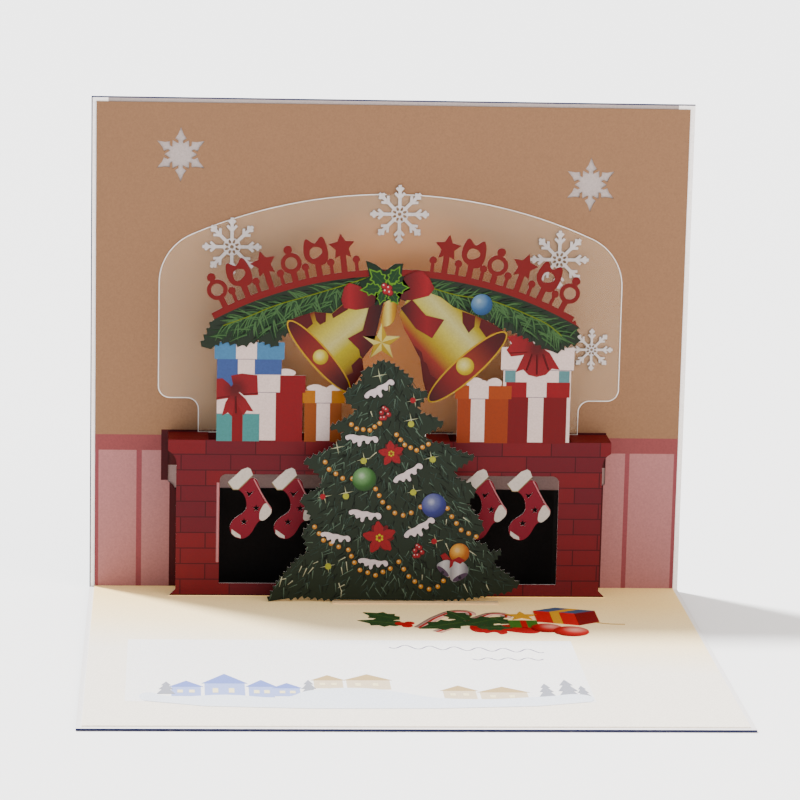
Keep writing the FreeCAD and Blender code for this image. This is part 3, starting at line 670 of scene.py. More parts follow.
# Level folds: left, right, height.
PARCEL_FOLDS = [(-40.4, -33.4, 63.6), (-52.4, -47.7, 57.0), (-44.3, -39.3, 57.0), (-22.8, -18.0, 60.5),
                (23.2, 29.0, 62.2), (40.4, 46.4, 62.8), (33.0, 54.0, 71.1), (-46.6, -40.4, 73.6)]
RED_BOWS = {
    "left": {
        "loops": [[(-52.3, 61.2), (-52.3, 67.6), (-50.6, 67.8), (-48.6, 66.2), (-47.2, 64.2), (-48.8, 61.8)],
                  [(-47.2, 65.0), (-48.0, 68.6), (-44.8, 69.3), (-42.4, 69.0), (-40.2, 68.8), (-39.9, 62.8),
                   (-44.0, 62.6)]],
        "tails": [[(-47.4, 64.2), (-49.6, 60.4), (-50.6, 56.4), (-48.8, 57.4), (-47.6, 56.2), (-46.2, 63.0)],
                  [(-46.4, 64.2), (-43.6, 61.6), (-41.2, 57.8), (-43.2, 58.0), (-44.2, 56.6), (-46.6, 61.0)]],
        "folds": [[(-52.2, 61.8), (-48.4, 62.4)], [(-44.4, 63.0), (-39.9, 63.3)],
                  [(-46.6, 62.4), (-46.4, 57.2)]],
        "knot": (-46.6, 64.6, 1.5),
    },
    "right": {
        "loops": [[(43.2, 77.2), (41.0, 81.4), (37.4, 82.0), (34.0, 81.2), (35.6, 79.2), (34.0, 77.2),
                   (35.4, 75.2), (38.8, 75.6)],
                  [(43.2, 78.0), (45.6, 82.2), (50.0, 82.0), (52.4, 79.2), (49.0, 76.6)]],
        "tails": [[(43.2, 79.0), (39.4, 76.0), (36.9, 70.4), (39.2, 71.3), (40.8, 69.6), (43.4, 69.0)],
                  [(43.0, 79.0), (47.0, 76.4), (50.2, 71.3), (47.8, 71.6), (46.0, 69.7), (43.2, 69.0)]],
        "folds": [[(43.3, 76.6), (43.3, 69.8)], [(35.0, 76.2), (40.4, 76.6)], [(41.8, 76.0), (40.2, 71.0)],
                  [(45.0, 76.0), (46.8, 71.2)]],
        "knot": (43.2, 77.6, 1.7),
    },
}


class CARD_OT_parcels(bpy.types.Operator):
    """Printed parcels on the shelf, with their lids, ribbons and bows"""

    bl_idname = "card.parcels"
    bl_label = "Parcels"

    def execute(self, context):
        for name, (code, fields) in PARCEL_FIELDS.items():
            printed("parcel_" + name, [box(*field) for field in fields], code, HEARTH_FACE)
        for side, bow in RED_BOWS.items():
            x, z, radius = bow["knot"]
            silk = shaded("bow_" + side, "SPHERICAL", HEARTH_FACE, (x, z), 9,
                          [(0.0, "#61060E"), (0.55, "#58050C"), (0.85, "#380205"), (1.0, "#4C0409")])
            printed(f"bow_{side}_tails", bow["tails"], silk, HEARTH_FACE, 2)
            printed(f"bow_{side}_loops", bow["loops"], silk, HEARTH_FACE, 3)
            strokes(f"bow_{side}_folds", bow["folds"], 0.55, "#3A0205", HEARTH_FACE, 4, 0.55)
            printed(f"bow_{side}_knot", [disc(x, z, radius)], silk, HEARTH_FACE, 5)
        # Grey lines where the white lids and ribbons fold.
        folds = [[(left, z), (right, z)] for left, right, z in PARCEL_FOLDS]
        strokes("parcel_folds", folds, 0.22, "#7A7078", HEARTH_FACE, smooth=False)
        return {"FINISHED"}


# Parts of a stocking, measured from the middle of its cuff and down from the window's top.
CUFF = [(-6.6, -2.6), (-5.0, -4.7), (-3.4, -4.7), (0.9, -0.3), (0.2, 1.6), (-0.7, 2.1), (-2.5, 1.4)]
HEEL = [(6.6, -10.9), (5.5, -13.2), (3.4, -14.1), (3.0, -12.2), (3.6, -10.4), (5.0, -8.9)]
TOE = [(-5.3, -16.9), (-2.6, -18.8), (-2.5, -19.7), (-4.2, -19.2), (-5.3, -18.2)]
STOCKING_BACK = [(1.2, -1.5), (4.6, -7.7), (6.5, -10.5)]


class CARD_OT_stockings(bpy.types.Operator):
    """Cuffs, heels and toes of the stockings in the window"""

    bl_idname = "card.stockings"
    bl_label = "Stockings"

    def execute(self, context):
        def hung(shape):
            return [moved(shape, x, WINDOW_TOP) for x in STOCKING_PLACES]

        # The white cuffs, heels and toes are painted grey: painted shade in the hearth's window.
        for name, shape in {"cuffs": CUFF, "heels": HEEL, "toes": TOE}.items():
            printed("stocking_" + name, hung(shape), "#98918B", HEARTH_FACE, 1, 0.65, smooth=name == "heels")
        strokes("cuff_seams", hung(CUFF[:4]), 0.3, "#6B5F45", HEARTH_FACE, 2, 0.65, smooth=False)
        # A pale line down the back of each stocking, and down the window's left edge a pinkish line where
        # white card shows in shade: painted shade.
        strokes("stocking_backs", hung(STOCKING_BACK), 0.42, "#8C565B", HEARTH_FACE, 2)
        edge = -WINDOW_SIDE - 0.5
        strokes("window_edge", [[(edge, 11.5), (edge, 36.0)]], 0.9, "#8C565B", HEARTH_FACE, smooth=False)
        return {"FINISHED"}


# Outlines on the garland card, measured across and above its foot.
LEFT_BELL = [(-31.3, 8.3), (-28.7, 9.6), (-23.6, 11.2), (-18.4, 10.7), (-15.0, 13.7), (-7.0, 16.0),
             (-4.5, 8.0), (-5.9, 1.3), (-9.0, -2.8), (-8.5, -6.4), (-10.4, -9.3), (-12.8, -12.7)]
RIGHT_BELL = [(33.8, 5.5), (29.4, 8.3), (23.6, 10.9), (17.9, 13.0), (14.0, 16.0), (6.0, 19.0),
              (1.7, 11.0), (3.1, 6.5), (5.9, 1.7), (8.2, -2.7), (9.2, -9.2), (11.1, -15.6)]
BELLS = {
    "left": {
        "body": LEFT_BELL, "mouth": (-22.0, -2.2, 14.2, 3.3, -48.6), "clapper": (-21.5, -2.4, 2.3),
        "bands": [[(-31.0, 8.6), (-28.7, 9.5), (-25.0, 10.8), (-23.9, 7.6), (-25.8, 5.9), (-27.6, 7.6)],
                  [(-23.6, 11.1), (-20.1, 10.9), (-20.1, 8.3), (-21.8, 7.3), (-23.0, 8.6)],
                  [(-18.4, 10.6), (-15.2, 13.4), (-12.6, 14.2), (-13.6, 12.0), (-18.0, 9.3)],
                  [(-14.5, -8.4), (-11.7, -7.0), (-12.3, -4.9), (-9.9, -2.4), (-9.0, -2.9), (-8.6, -6.4),
                   (-10.5, -9.2), (-12.7, -12.4)],
                  [(-9.7, -1.9), (-10.3, 1.0), (-6.1, 1.2), (-8.9, -2.7)]],
        "brass": [(0.0, "#260102"), (0.1, "#491303"), (0.2, "#685600"), (0.36, "#807829"), (0.5, "#837D4C"),
                  (0.62, "#756B00"), (0.78, "#635300"), (0.88, "#480A08"), (1.0, "#220105")],
    },
    "right": {
        "body": RIGHT_BELL, "mouth": (22.4, -5.0, 15.6, 3.8, 42.8), "clapper": (21.7, -4.8, 2.7),
        "bands": [[(33.4, 5.8), (29.4, 8.2), (26.2, 9.6), (25.6, 7.0), (27.8, 4.0), (30.0, 5.6)],
                  [(24.4, 10.4), (20.4, 11.8), (20.6, 8.4), (22.5, 5.3), (24.2, 7.2)],
                  [(8.2, -2.8), (10.2, -4.0), (11.4, -7.4), (13.6, -9.0), (11.9, -13.2), (11.1, -15.4),
                   (9.3, -9.2)],
                  [(5.9, 1.6), (8.6, -0.6), (9.6, -4.6), (8.3, -2.9)]],
        "brass": [(0.0, "#220105"), (0.16, "#3C0206"), (0.3, "#5C170D"), (0.42, "#6F5D00"), (0.56, "#80782E"),
                  (0.68, "#817D50"), (0.8, "#706400"), (0.9, "#4C1603"), (1.0, "#260102")],
    },
}
BELL_INSIDE = [(0.0, "#200104"), (0.3, "#4E0909"), (0.55, "#59190C"), (0.8, "#320204"), (1.0, "#210000")]
CLAPPER = [(0.0, "#614E00"), (0.4, "#817200"), (0.8, "#908B50"), (1.0, "#96916D")]

# Each loop of the bow, and where its sheen starts and how far it runs.
BOW_LOOPS = {
    "left": ([(-4.2, 16.4), (-5.6, 14.0), (-7.6, 12.6), (-11.2, 11.9), (-14.8, 12.5), (-15.7, 14.9),
              (-14.9, 18.6), (-13.4, 20.0), (-11.0, 19.4), (-8.8, 18.4), (-6.4, 18.6)], -15.6, 11.4),
    "right": ([(0.4, 17.0), (2.1, 15.1), (5.2, 15.0), (10.4, 16.4), (12.0, 18.6), (10.6, 21.4), (8.0, 24.0),
               (5.6, 23.4), (3.2, 22.4), (1.8, 19.6)], 12.2, -11.8),
}
BOW_TAILS = [[(-3.0, 14.5), (-7.3, 13.4), (-9.1, 5.8), (-13.5, 3.3), (-9.8, -0.3), (-9.0, -2.8), (-5.9, 1.3),
              (-4.6, 7.0)],
             [(2.0, 12.6), (5.4, 15.2), (9.6, 10.5), (15.1, 9.2), (11.6, 3.6), (6.7, 6.5)]]
DROP = [(-1.8, 16.0), (0.8, 15.0), (1.0, 12.3), (-1.2, 7.4), (-3.3, 7.4), (-3.3, 11.0), (-2.6, 14.0)]
HANGING_STAR = (-3.4, 2.2, 5.9)
BAUBLE = (26.2, 13.9, 3.2)
HOLLY = [(-8.6, 26.8), (-5.5, 25.6), (-2.9, 23.6), (0.1, 25.9), (2.6, 26.0), (2.0, 22.2), (4.8, 18.4),
         (2.2, 17.0), (1.6, 14.3), (-0.5, 15.3), (-5.7, 13.3), (-5.4, 16.4), (-9.2, 17.3), (-10.4, 20.4),
         (-7.4, 22.0)]
LEAF = [(0, 0), (1.5, 1.0), (1.4, 2.0), (2.4, 2.6), (1.7, 3.6), (2.2, 4.8), (1.1, 5.2), (0, 7.4), (-1.1, 5.2),
        (-2.2, 4.8), (-1.7, 3.6), (-2.4, 2.6), (-1.4, 2.0), (-1.5, 1.0)]
VEIN = [(0, 0.8), (0, 6.4)]
NEEDLE_PITCH = 0.36
HOLLY_LEAVES = [(-2.4, 19.0, 44, 1.02), (-1.4, 19.6, -28, 0.88), (-1.6, 18.6, -88, 0.84),
                (-1.6, 18.0, -146, 0.72), (-3.2, 18.2, 168, 0.66), (-3.6, 18.6, 96, 0.9)]
HOLLY_BERRIES = [(-2.9, 19.2), (-1.5, 18.6), (-2.5, 17.6), (-1.2, 17.2)]
LEFT_STEM = [(-50.5, 6.8), (-43.8, 9.3), (-35.1, 13.0), (-28.0, 15.2), (-20.8, 17.4), (-14.0, 19.6),
             (-7.0, 22.0)]
RIGHT_STEM = [(3.0, 21.0), (11.7, 18.6), (19.0, 16.6), (27.0, 15.6), (33.6, 13.6), (40.0, 11.0),
              (46.0, 8.2), (50.5, 4.6)]
TWIGS = [[(-44.0, 9.4), (-51.0, 2.6)], [(-39.0, 11.2), (-44.0, 3.2)], [(-34.0, 12.8), (-37.5, 3.6)],
         [(-29.0, 14.4), (-31.0, 6.8)], [(-23.0, 16.2), (-25.0, 10.4)], [(-17.0, 18.0), (-19.0, 12.6)],
         [(18.0, 17.0), (19.5, 13.2)], [(24.0, 16.0), (27.0, 11.4)], [(30.0, 14.6), (33.4, 8.6)],
         [(35.5, 12.8), (39.4, 5.8)], [(41.0, 10.4), (45.0, 3.0)], [(46.0, 8.0), (50.4, 1.6)],
         [(50.0, 5.0), (54.0, 4.4)]]


class CARD_OT_garland_pine(bpy.types.Operator):
    """Pine branches of the garland card, needle by needle"""

    bl_idname = "card.garland_pine"
    bl_label = "Garland Pine"

    def execute(self, context):
        # Coated card printed on its front: the cresting and band are red, the rest pine green.
        def fields(material):
            deep = axes(material)[1]
            arch = place_on(material, (0, 0, ARCH_CENTRE), 0, (1, 1e6, 1))
            reach = add_node(material, "ShaderNodeVectorMath", {0: arch}, operation="LENGTH").outputs["Value"]
            crest = over(material, reach, ARCH_RADIUS - BAND)
            front = mixed(material, crest, colour("pine"), "#510405")
            return mixed(material, over(material, deep, GARLAND_BACK - 0.1), front, colour("white"))

        coat("garland", stock("printed_garland_card", fields, 0.5))
        codes = {"dark": "#040C07", "mid": "#152A18", "light": "#2F4A2A"}
        for layer, (tone, lines) in enumerate(self.needles(codes).items(), 1):
            strokes("garland_needles_" + tone, lines, 0.42, codes[tone], GARLAND_FACE, layer, 0.6, taper=True)
        strokes("garland_stems", [LEFT_STEM, RIGHT_STEM], 0.4, "#485506", GARLAND_FACE, 4, 0.6)
        return {"FINISHED"}

    def needles(self, codes):
        """Needles on either side of each stem and twig, where they stay on the card and under the band."""
        chance = random.Random(11)
        length = bpy.context.scene.card_sizes.needle / MM
        tones = {tone: [] for tone in codes}
        # The left stem is drawn towards the middle, so its needles point back.
        sprigs = [(LEFT_STEM, math.pi), (RIGHT_STEM, 0)] + [(twig, 0) for twig in TWIGS]
        for stem, turn in sprigs:
            for x, z, direction in along(stem, NEEDLE_PITCH):
                for side in (-1, 1):
                    angle = direction + turn + side * math.radians(chance.uniform(22, 62))
                    reach = length * chance.uniform(0.75, 1.35)
                    tip = (x + reach * math.cos(angle), z + reach * math.sin(angle) - chance.uniform(0, 0.8))
                    from_centre = math.hypot(tip[0], tip[1] + GARLAND_FOOT - ARCH_CENTRE)
                    if from_centre > ARCH_RADIUS - BAND or not on_card("garland", GARLAND_FACE, *tip):
                        continue
                    bend = ((x + tip[0]) / 2 + chance.uniform(-0.2, 0.2), (z + tip[1]) / 2 + 0.25)
                    tones[chance.choice(("dark", "mid", "mid", "light"))].append([(x, z), bend, tip])
        return tones


class CARD_OT_bells(bpy.types.Operator):
    """The two printed brass bells"""

    bl_idname = "card.bells"
    bl_label = "Bells"

    def execute(self, context):
        # Brass is printed as bands of colour across the bell, dark at its sides and pale where it shines.
        for side, bell in BELLS.items():
            x, z, long_radius, short_radius, lean = bell["mouth"]
            turn = math.radians(lean)
            start = (x - long_radius * math.cos(turn), z - long_radius * math.sin(turn))
            body, mouth = [shaded(name + side, "LINEAR", GARLAND_FACE, start, 2 * long_radius, stops, -lean)
                           for name, stops in (("brass_", bell["brass"]), ("bell_mouth_", BELL_INSIDE))]
            rim = [oval(x, z, long_radius - inset, short_radius - inset, lean) for inset in (0, 0.5)]
            parts = {"body": ([bell["body"]], body, 0.45), "bands": (bell["bands"], "#350204", 0.5),
                     "rim": (rim[:1], "#806300", 0.45), "mouth": (rim[1:], mouth, 0.45)}
            for layer, (name, (shapes, ink, roughness)) in enumerate(parts.items(), 5):
                printed(f"bell_{side}_{name}", shapes, ink, GARLAND_FACE, layer, roughness)
            ball(f"bell_{side}_clapper", *bell["clapper"], (-0.4, 0.5), 1.4, CLAPPER, GARLAND_FACE)
        return {"FINISHED"}


class CARD_OT_garland_middle(bpy.types.Operator):
    """Bow, holly, berries, drop, star and bauble in the middle of the garland"""

    bl_idname = "card.garland_middle"
    bl_label = "Garland Middle"

    def execute(self, context):
        face = GARLAND_FACE
        satin = shaded("satin_tails", "LINEAR", face, (-14, -3), 30,
                       [(0.0, "#4E0409"), (0.2, "#2F0204"), (0.35, "#190002"), (0.55, "#210003"),
                        (0.8, "#58050C"), (1.0, "#420307")])
        printed("garland_bow_tails", BOW_TAILS, satin, face, 10)
        for side, (loop, outer_end, run) in BOW_LOOPS.items():
            satin = shaded("satin_" + side, "LINEAR", face, (outer_end, 0), run,
                           [(0.0, "#4E0409"), (0.2, "#660710"), (0.36, "#59050C"), (0.7, "#3A0205"),
                            (1.0, "#1F0104")])
            printed("garland_bow_" + side, [loop], satin, face, 11)
        small_leaf = moved(LEAF, 0, 0.7, 0, 0.8)
        printed("garland_holly_shade", [HOLLY], "#051709", face, 11, 0.55)
        printed("garland_holly_edges", [moved(LEAF, *place) for place in HOLLY_LEAVES], "#3E630D", face, 12)
        printed("garland_holly", [moved(small_leaf, *place) for place in HOLLY_LEAVES], "#08260E", face, 13)
        veins = [moved(VEIN, *place) for place in HOLLY_LEAVES]
        strokes("garland_holly_veins", veins, 0.3, "#3E630D", face, 14, smooth=False)
        berries("garland_berries", HOLLY_BERRIES, 1.05, face, 15)
        gold = shaded("drop", "LINEAR", face, (-3.4, 0), 4.4,
                      [(0.0, "#725100"), (0.4, "#908746"), (0.7, "#7D5B00"), (1.0, "#522D04")])
        printed("garland_drop", [DROP], gold, face, 9, smooth=True)
        # The star is printed as ten facets, light and dark in turn.
        x, z, radius = HANGING_STAR
        points = star(x, z, radius)
        facets = [[(x, z), *pair] for pair in zip(points, points[1:] + points[:1])]
        printed("garland_star_light", facets[::2], "#8E8446", face, 10, 0.45)
        printed("garland_star_dark", facets[1::2], "#77600D", face, 10, 0.45)
        ball("garland_bauble", *BAUBLE, (-0.9, 1.1), 1.7,
             [(0.0, "#061C3A"), (0.45, "#1A3A5E"), (0.8, "#445D73"), (1.0, "#7D8891")], face)
        return {"FINISHED"}


# How many needles are tried on the tree, the pitch of its beads, and the points their strings hang through.
TREE_NEEDLES = 2600
BEAD_PITCH = 2.25
BEAD_STRINGS = [
    [(-12.2, 55.4), (-10.6, 54.1), (-6.7, 53.7), (-3.8, 55.8)],
    [(1.3, 52.4), (3.8, 49.3), (7.4, 47.7), (10.9, 49.6)],
    [(-19.8, 43.9), (-18.6, 41.7), (-14.5, 39.0), (-11.6, 38.9)],
    [(-4.6, 35.8), (-2.4, 31.8), (1.3, 28.5), (3.8, 27.8), (6.2, 28.6), (9.0, 30.4)],
    [(17.0, 30.0), (18.4, 27.5), (21.3, 23.4), (25.9, 21.4)],
    [(-22.6, 24.1), (-19.9, 20.0), (-15.3, 18.0), (-12.4, 17.1), (-10.5, 13.2), (-8.8, 10.9), (-4.1, 9.3),
     (0.3, 11.4), (2.8, 13.5), (5.9, 9.0), (9.6, 5.9), (12.1, 5.1), (14.7, 5.9), (18.0, 9.5)],
]
TREE_BALLS = {
    "green": (-8.1, 38.8, 3.6, [(0.0, "#0C210A"), (0.4, "#1E4016"), (0.75, "#486742"), (1.0, "#818B7E")]),
    "blue": (12.9, 30.9, 3.7, [(0.0, "#0C0C36"), (0.4, "#1D2154"), (0.75, "#454A6C"), (1.0, "#838693")]),
    "orange": (20.9, 16.3, 3.0, [(0.0, "#5B2605"), (0.4, "#763F08"), (0.75, "#956E25"), (1.0, "#98896B")]),
}
SNOW = [(-4.9, 0.9), (-4.2, 1.4), (-3.2, 1.6), (-2.0, 1.5), (-0.9, 1.2), (0.4, 1.3), (1.6, 1.0), (2.8, 0.9),
        (4.0, 1.1), (4.8, 0.5), (4.7, -0.6), (3.9, -0.8), (3.2, 0.0), (2.6, -0.3), (2.0, -1.2), (1.3, -1.0),
        (0.9, -0.2), (0.2, -0.4), (-0.4, -1.9), (-1.0, -1.9), (-1.4, -0.6), (-2.0, -0.9), (-2.5, -1.0),
        (-3.0, 0.0), (-3.6, 0.2), (-4.2, -0.1)]
SNOW_PLACES = [(-4.0, 65.9, 34, 1.0), (-9.1, 50.8, 0, 1.0), (5.1, 40.4, 36, 1.0), (-7.7, 27.7, -4, 1.0),
               (8.9, 23.7, 36, 1.05), (-16.4, 20.8, -6, 0.92), (-5.0, 13.0, -2, 0.92)]
FLOWERS = [(-0.2, 46.7, 3.9), (-3.2, 20.9, 5.1)]
PETAL = [(0, 0), (0.26, 0.3), (0.3, 0.62), (0.08, 1.0), (-0.06, 0.98), (-0.28, 0.62), (-0.24, 0.3)]
TREE_BERRIES = [(-2.4, 58.8), (8.5, 16.8)]
BERRY_CLUSTER = [(-0.9, 0.2), (0.5, 1.1), (1.2, -0.3), (0, -1.3), (-0.2, 1.6), (-0.9, -1.4)]
RED_LIGHTS = [(6.4, 62.9), (-19.9, 33.4), (13.7, 19.9)]
YELLOW_LIGHTS = [(5.5, 55.7), (-13.5, 33.6), (6.6, 34.9), (-8.4, 44.4), (12.2, 45.0), (-18.4, 12.0)]
SPARKLES = [(-4.2, 70.3), (-8.2, 44.9), (11.8, 45.5), (6.9, 35.2), (-18.6, 12.1), (-16.3, 48.4), (5.5, 57.0),
            (6.4, 62.9), (-19.9, 33.4), (13.7, 19.9), (-13.5, 34.6)]


class CARD_OT_tree_needles(bpy.types.Operator):
    """Pine needles printed over the whole tree"""

    bl_idname = "card.tree_needles"
    bl_label = "Tree Needles"

    def execute(self, context):
        # Coated card printed on its front, with a white back and its white tab painted cream like the floor's
        # painted warm shade.
        def fields(material):
            _, deep, high = axes(material)
            tab = both(material, under(material, deep, TREE - 0.05), under(material, high, FLOOR + 0.5))
            front = mixed(material, tab, colour("pine"), "#D9B98A")
            return mixed(material, over(material, deep, TREE + 0.3), front, colour("white"))

        coat("tree", stock("printed_tree_card", fields, 0.5))
        codes = {"dark": "#050A06", "mid": "#22302A", "light": "#3F5044", "frost": "#8E8F78"}
        for layer, (tone, lines) in enumerate(self.needles(codes).items(), 1):
            strokes("tree_needles_" + tone, lines, 0.36, codes[tone], TREE_FACE, layer, 0.6, taper=True,
                    smooth=False)
        return {"FINISHED"}

    def needles(self, codes):
        """Needles strewn over the tree, pointing outwards and more steeply down towards its foot."""
        chance = random.Random(5)
        tones = {tone: [] for tone in codes}
        top = TREE_HIGH.z
        width = TREE_HIGH.x - TREE_LOW.x
        for _ in range(TREE_NEEDLES):
            z = chance.uniform(FLOOR + 0.5, top)
            x = chance.uniform(-0.55, 0.55) * width
            if not on_card("tree", TREE_FACE, x, z):
                continue
            outwards = math.atan2(-0.55 * (1 - z / top) - 0.35, x / width * 2.2)
            angle = outwards + math.radians(chance.uniform(-48, 48))
            reach = chance.uniform(1.6, 3.4)
            tip = (x + reach * math.cos(angle), z + reach * math.sin(angle))
            if tip[1] < FLOOR + 0.3 or not on_card("tree", TREE_FACE, *tip):
                continue
            # Frost lies mostly on the lowest branches at the left.
            frosted = z < 16 and x < -10 and chance.random() < 0.16 or chance.random() < 0.012
            tone = "frost" if frosted else chance.choice(("dark", "dark", "mid", "mid", "light"))
            tones[tone].append([(x, z), tip])
        return tones


class CARD_OT_tree_trim(bpy.types.Operator):
    """Beads, balls, snow, flowers, berries, bells and lights on the tree"""

    bl_idname = "card.tree_trim"
    bl_label = "Tree Trim"

    def execute(self, context):
        radius = context.scene.card_sizes.bead / MM
        places = []
        for string in BEAD_STRINGS:
            places += [(x, z) for x, z, _ in along(string, BEAD_PITCH)] + [string[-1]]
        printed("bead_rims", spots(places, radius), "#301701", TREE_FACE, 6)
        printed("beads", spots(places, radius * 0.84, 14, (-0.06, 0.06)), "#885A16", TREE_FACE, 7, 0.45)
        printed("bead_lights", spots(places, radius * 0.34, 8, (-0.2, 0.24)), "#988564", TREE_FACE, 8, 0.4)
        for name, (x, z, reach, stops) in TREE_BALLS.items():
            shift = (-reach * 0.22, reach * 0.3)
            ball("tree_ball_" + name, x, z, reach, shift, 1.5, stops, TREE_FACE, sides=32)
        shade = [moved(SNOW, x + 0.12, z - 0.2, lean, size * 1.06) for x, z, lean, size in SNOW_PLACES]
        printed("snow_edges", shade, "#080A0B", TREE_FACE, 5, 0.6, smooth=True)
        # The white snow is painted grey: painted shade on the upright tree.
        snow = [moved(SNOW, *place) for place in SNOW_PLACES]
        printed("snow", snow, "#9D9195", TREE_FACE, 10, 0.6, smooth=True)
        self.flowers()
        clusters = [(x + right, z + up) for x, z in TREE_BERRIES for right, up in BERRY_CLUSTER]
        berries("tree_berries", clusters, 0.85, TREE_FACE, 9)
        # Small lights with four-rayed sparkles over them.
        printed("sparkles", [star(x, z, 2.3, 0.09, 4, 12) for x, z in SPARKLES], "#82856A", TREE_FACE, 9)
        printed("yellow_lights", spots(YELLOW_LIGHTS, 0.95), "#717421", TREE_FACE, 10)
        printed("red_lights", spots(RED_LIGHTS, 0.85, shift=(-0.5, 0)), "#6A0811", TREE_FACE, 10)
        self.silver_bells()
        return {"FINISHED"}

    def flowers(self):
        """Two red flowers with pointed petals and a yellow heart."""
        backs, fronts, folds, hearts = [], [], [], []
        for x, z, reach in FLOWERS:
            backs += [moved(PETAL, x, z, 60 * k + 30, reach * 0.86) for k in range(6)]
            fronts += [moved(PETAL, x, z, 72 * k + 8, reach) for k in range(5)]
            folds += [moved([(0, 0.2), (0.02, 0.86)], x, z, 72 * k + 8, reach) for k in range(5)]
            hearts += [disc(*moved([(0, 0.17)], x, z, 60 * k, reach)[0], reach * 0.075, 8) for k in range(6)]
        printed("flower_back_petals", backs, "#440307", TREE_FACE, 9)
        printed("flower_petals", fronts, "#64070F", TREE_FACE, 10)
        strokes("flower_folds", folds, 0.2, "#440307", TREE_FACE, 11, smooth=False)
        printed("flower_hearts", hearts, "#7D7700", TREE_FACE, 12)

    def silver_bells(self):
        """Two small silver bells under a red bow."""
        silver = shaded("silver", "LINEAR", TREE_FACE, (14, 10), 9,
                        [(0.0, "#525056"), (0.25, "#8B8B8D"), (0.5, "#646366"), (0.75, "#908F92"),
                         (1.0, "#525056")])
        bodies = [[(14.2, 12.4), (15.4, 13.6), (18.0, 14.0), (18.6, 12.6), (17.9, 9.0), (16.2, 10.0)],
                  [(19.6, 13.8), (22.0, 13.6), (23.7, 10.4), (21.8, 8.6), (19.0, 7.6), (18.4, 11.2)]]
        mouths = [oval(16.1, 10.7, 2.3, 0.75, -42, 18), oval(21.3, 8.9, 2.5, 0.8, 28, 18)]
        bow = [[(18.4, 14.4), (16.6, 16.4), (15.2, 15.6), (16.0, 14.2)],
               [(18.8, 14.2), (20.8, 15.2), (22.6, 14.2), (21.2, 13.0)],
               [(18.2, 14.4), (18.0, 11.6), (18.9, 12.4), (19.4, 14.2)]]
        printed("silver_bells", bodies, silver, TREE_FACE, 11, smooth=True)
        printed("silver_bell_mouths", mouths, "#352737", TREE_FACE, 12)
        printed("silver_bell_clappers", spots([(16.0, 10.4), (21.2, 8.8)], 0.5, 10), "#16101A", TREE_FACE, 13)
        printed("silver_bell_bow", bow, "#61060E", TREE_FACE, 14)


FLOOR_LEAVES = [(3.0, 30.0, 74, 1.9), (2.0, 35.0, 52, 1.8), (22.0, 34.0, 25, 1.7), (21.0, 29.0, -52, 2.2),
                (22.0, 33.0, 118, 2.3), (34.0, 31.0, 40, 1.3), (24.0, 27.0, -96, 1.5)]
CANES = [[(7.0, 26.0), (16.0, 42.0), (19.5, 45.0), (23.0, 44.0), (23.5, 40.5)],
         [(12.0, 21.5), (27.0, 39.5), (30.5, 42.5), (33.8, 41.0), (33.5, 37.8)]]
FLOOR_RIBBON = [[(30.0, 28.0), (24.0, 30.0), (22.0, 25.0), (25.0, 21.0), (30.5, 26.0)],
                [(30.0, 27.0), (35.0, 30.0), (41.0, 27.0), (41.5, 21.0), (35.0, 21.5)],
                [(29.5, 27.5), (26.0, 20.5), (29.0, 21.5), (31.0, 19.0), (31.5, 26.0)]]

# A village in the snow, printed very pale along the panel's front: each house's left, foot, width and height.
HOUSES = {
    "blue": ("#97A6DC", "#7181C6",
             [(-65, -46, 8, 15), (-56, -48, 11, 24), (-44, -47, 7, 17), (-37, -46, 7, 13)]),
    "sand": ("#D6C3A4", "#B39A6E",
             [(-26, -38, 8, 13), (-17, -39, 12, 15), (9, -48, 9, 13), (19, -50, 13, 14)]),
}
FIRS = [(-69, -44, 5, 12), (-30, -44, 5, 14), (35, -46, 5, 13), (40, -47, 7, 18), (45.5, -46, 4, 11)]
SNOWY_GROUND = [(-72, -43), (-66, -46.5), (-50, -45), (-34, -47), (-28, -41), (-14, -38), (-3, -42), (6, -47),
                (20, -48.6), (36, -46), (48.4, -44.6), (48.6, -50.6), (-72, -50.8)]


def house(x, y, width, height):
    """A house front: its wall, roof and two windows."""
    eaves = y + height * 0.6
    roof = [(x - 0.8, eaves), (x + width + 0.8, eaves), (x + width / 2, y + height)]
    windows = [box(x + width * share, x + width * share + 1.5, y + height * 0.22, y + height * 0.4)
               for share in (0.2, 0.6)]
    return box(x, x + width, y, eaves), roof, windows


def fir(x, y, width, height):
    """A fir of three stepped triangles, its right side mirrored on its left."""
    middle = x + width / 2
    steps = [(0.5, 0), (0.2, 0.38), (0.38, 0.38), (0.12, 0.7), (0.26, 0.7)]
    right = [(middle + width * out, y + height * up) for out, up in steps]
    left = [(middle - width * out, y + height * up) for out, up in reversed(steps)]
    return right + [(middle, y + height)] + left


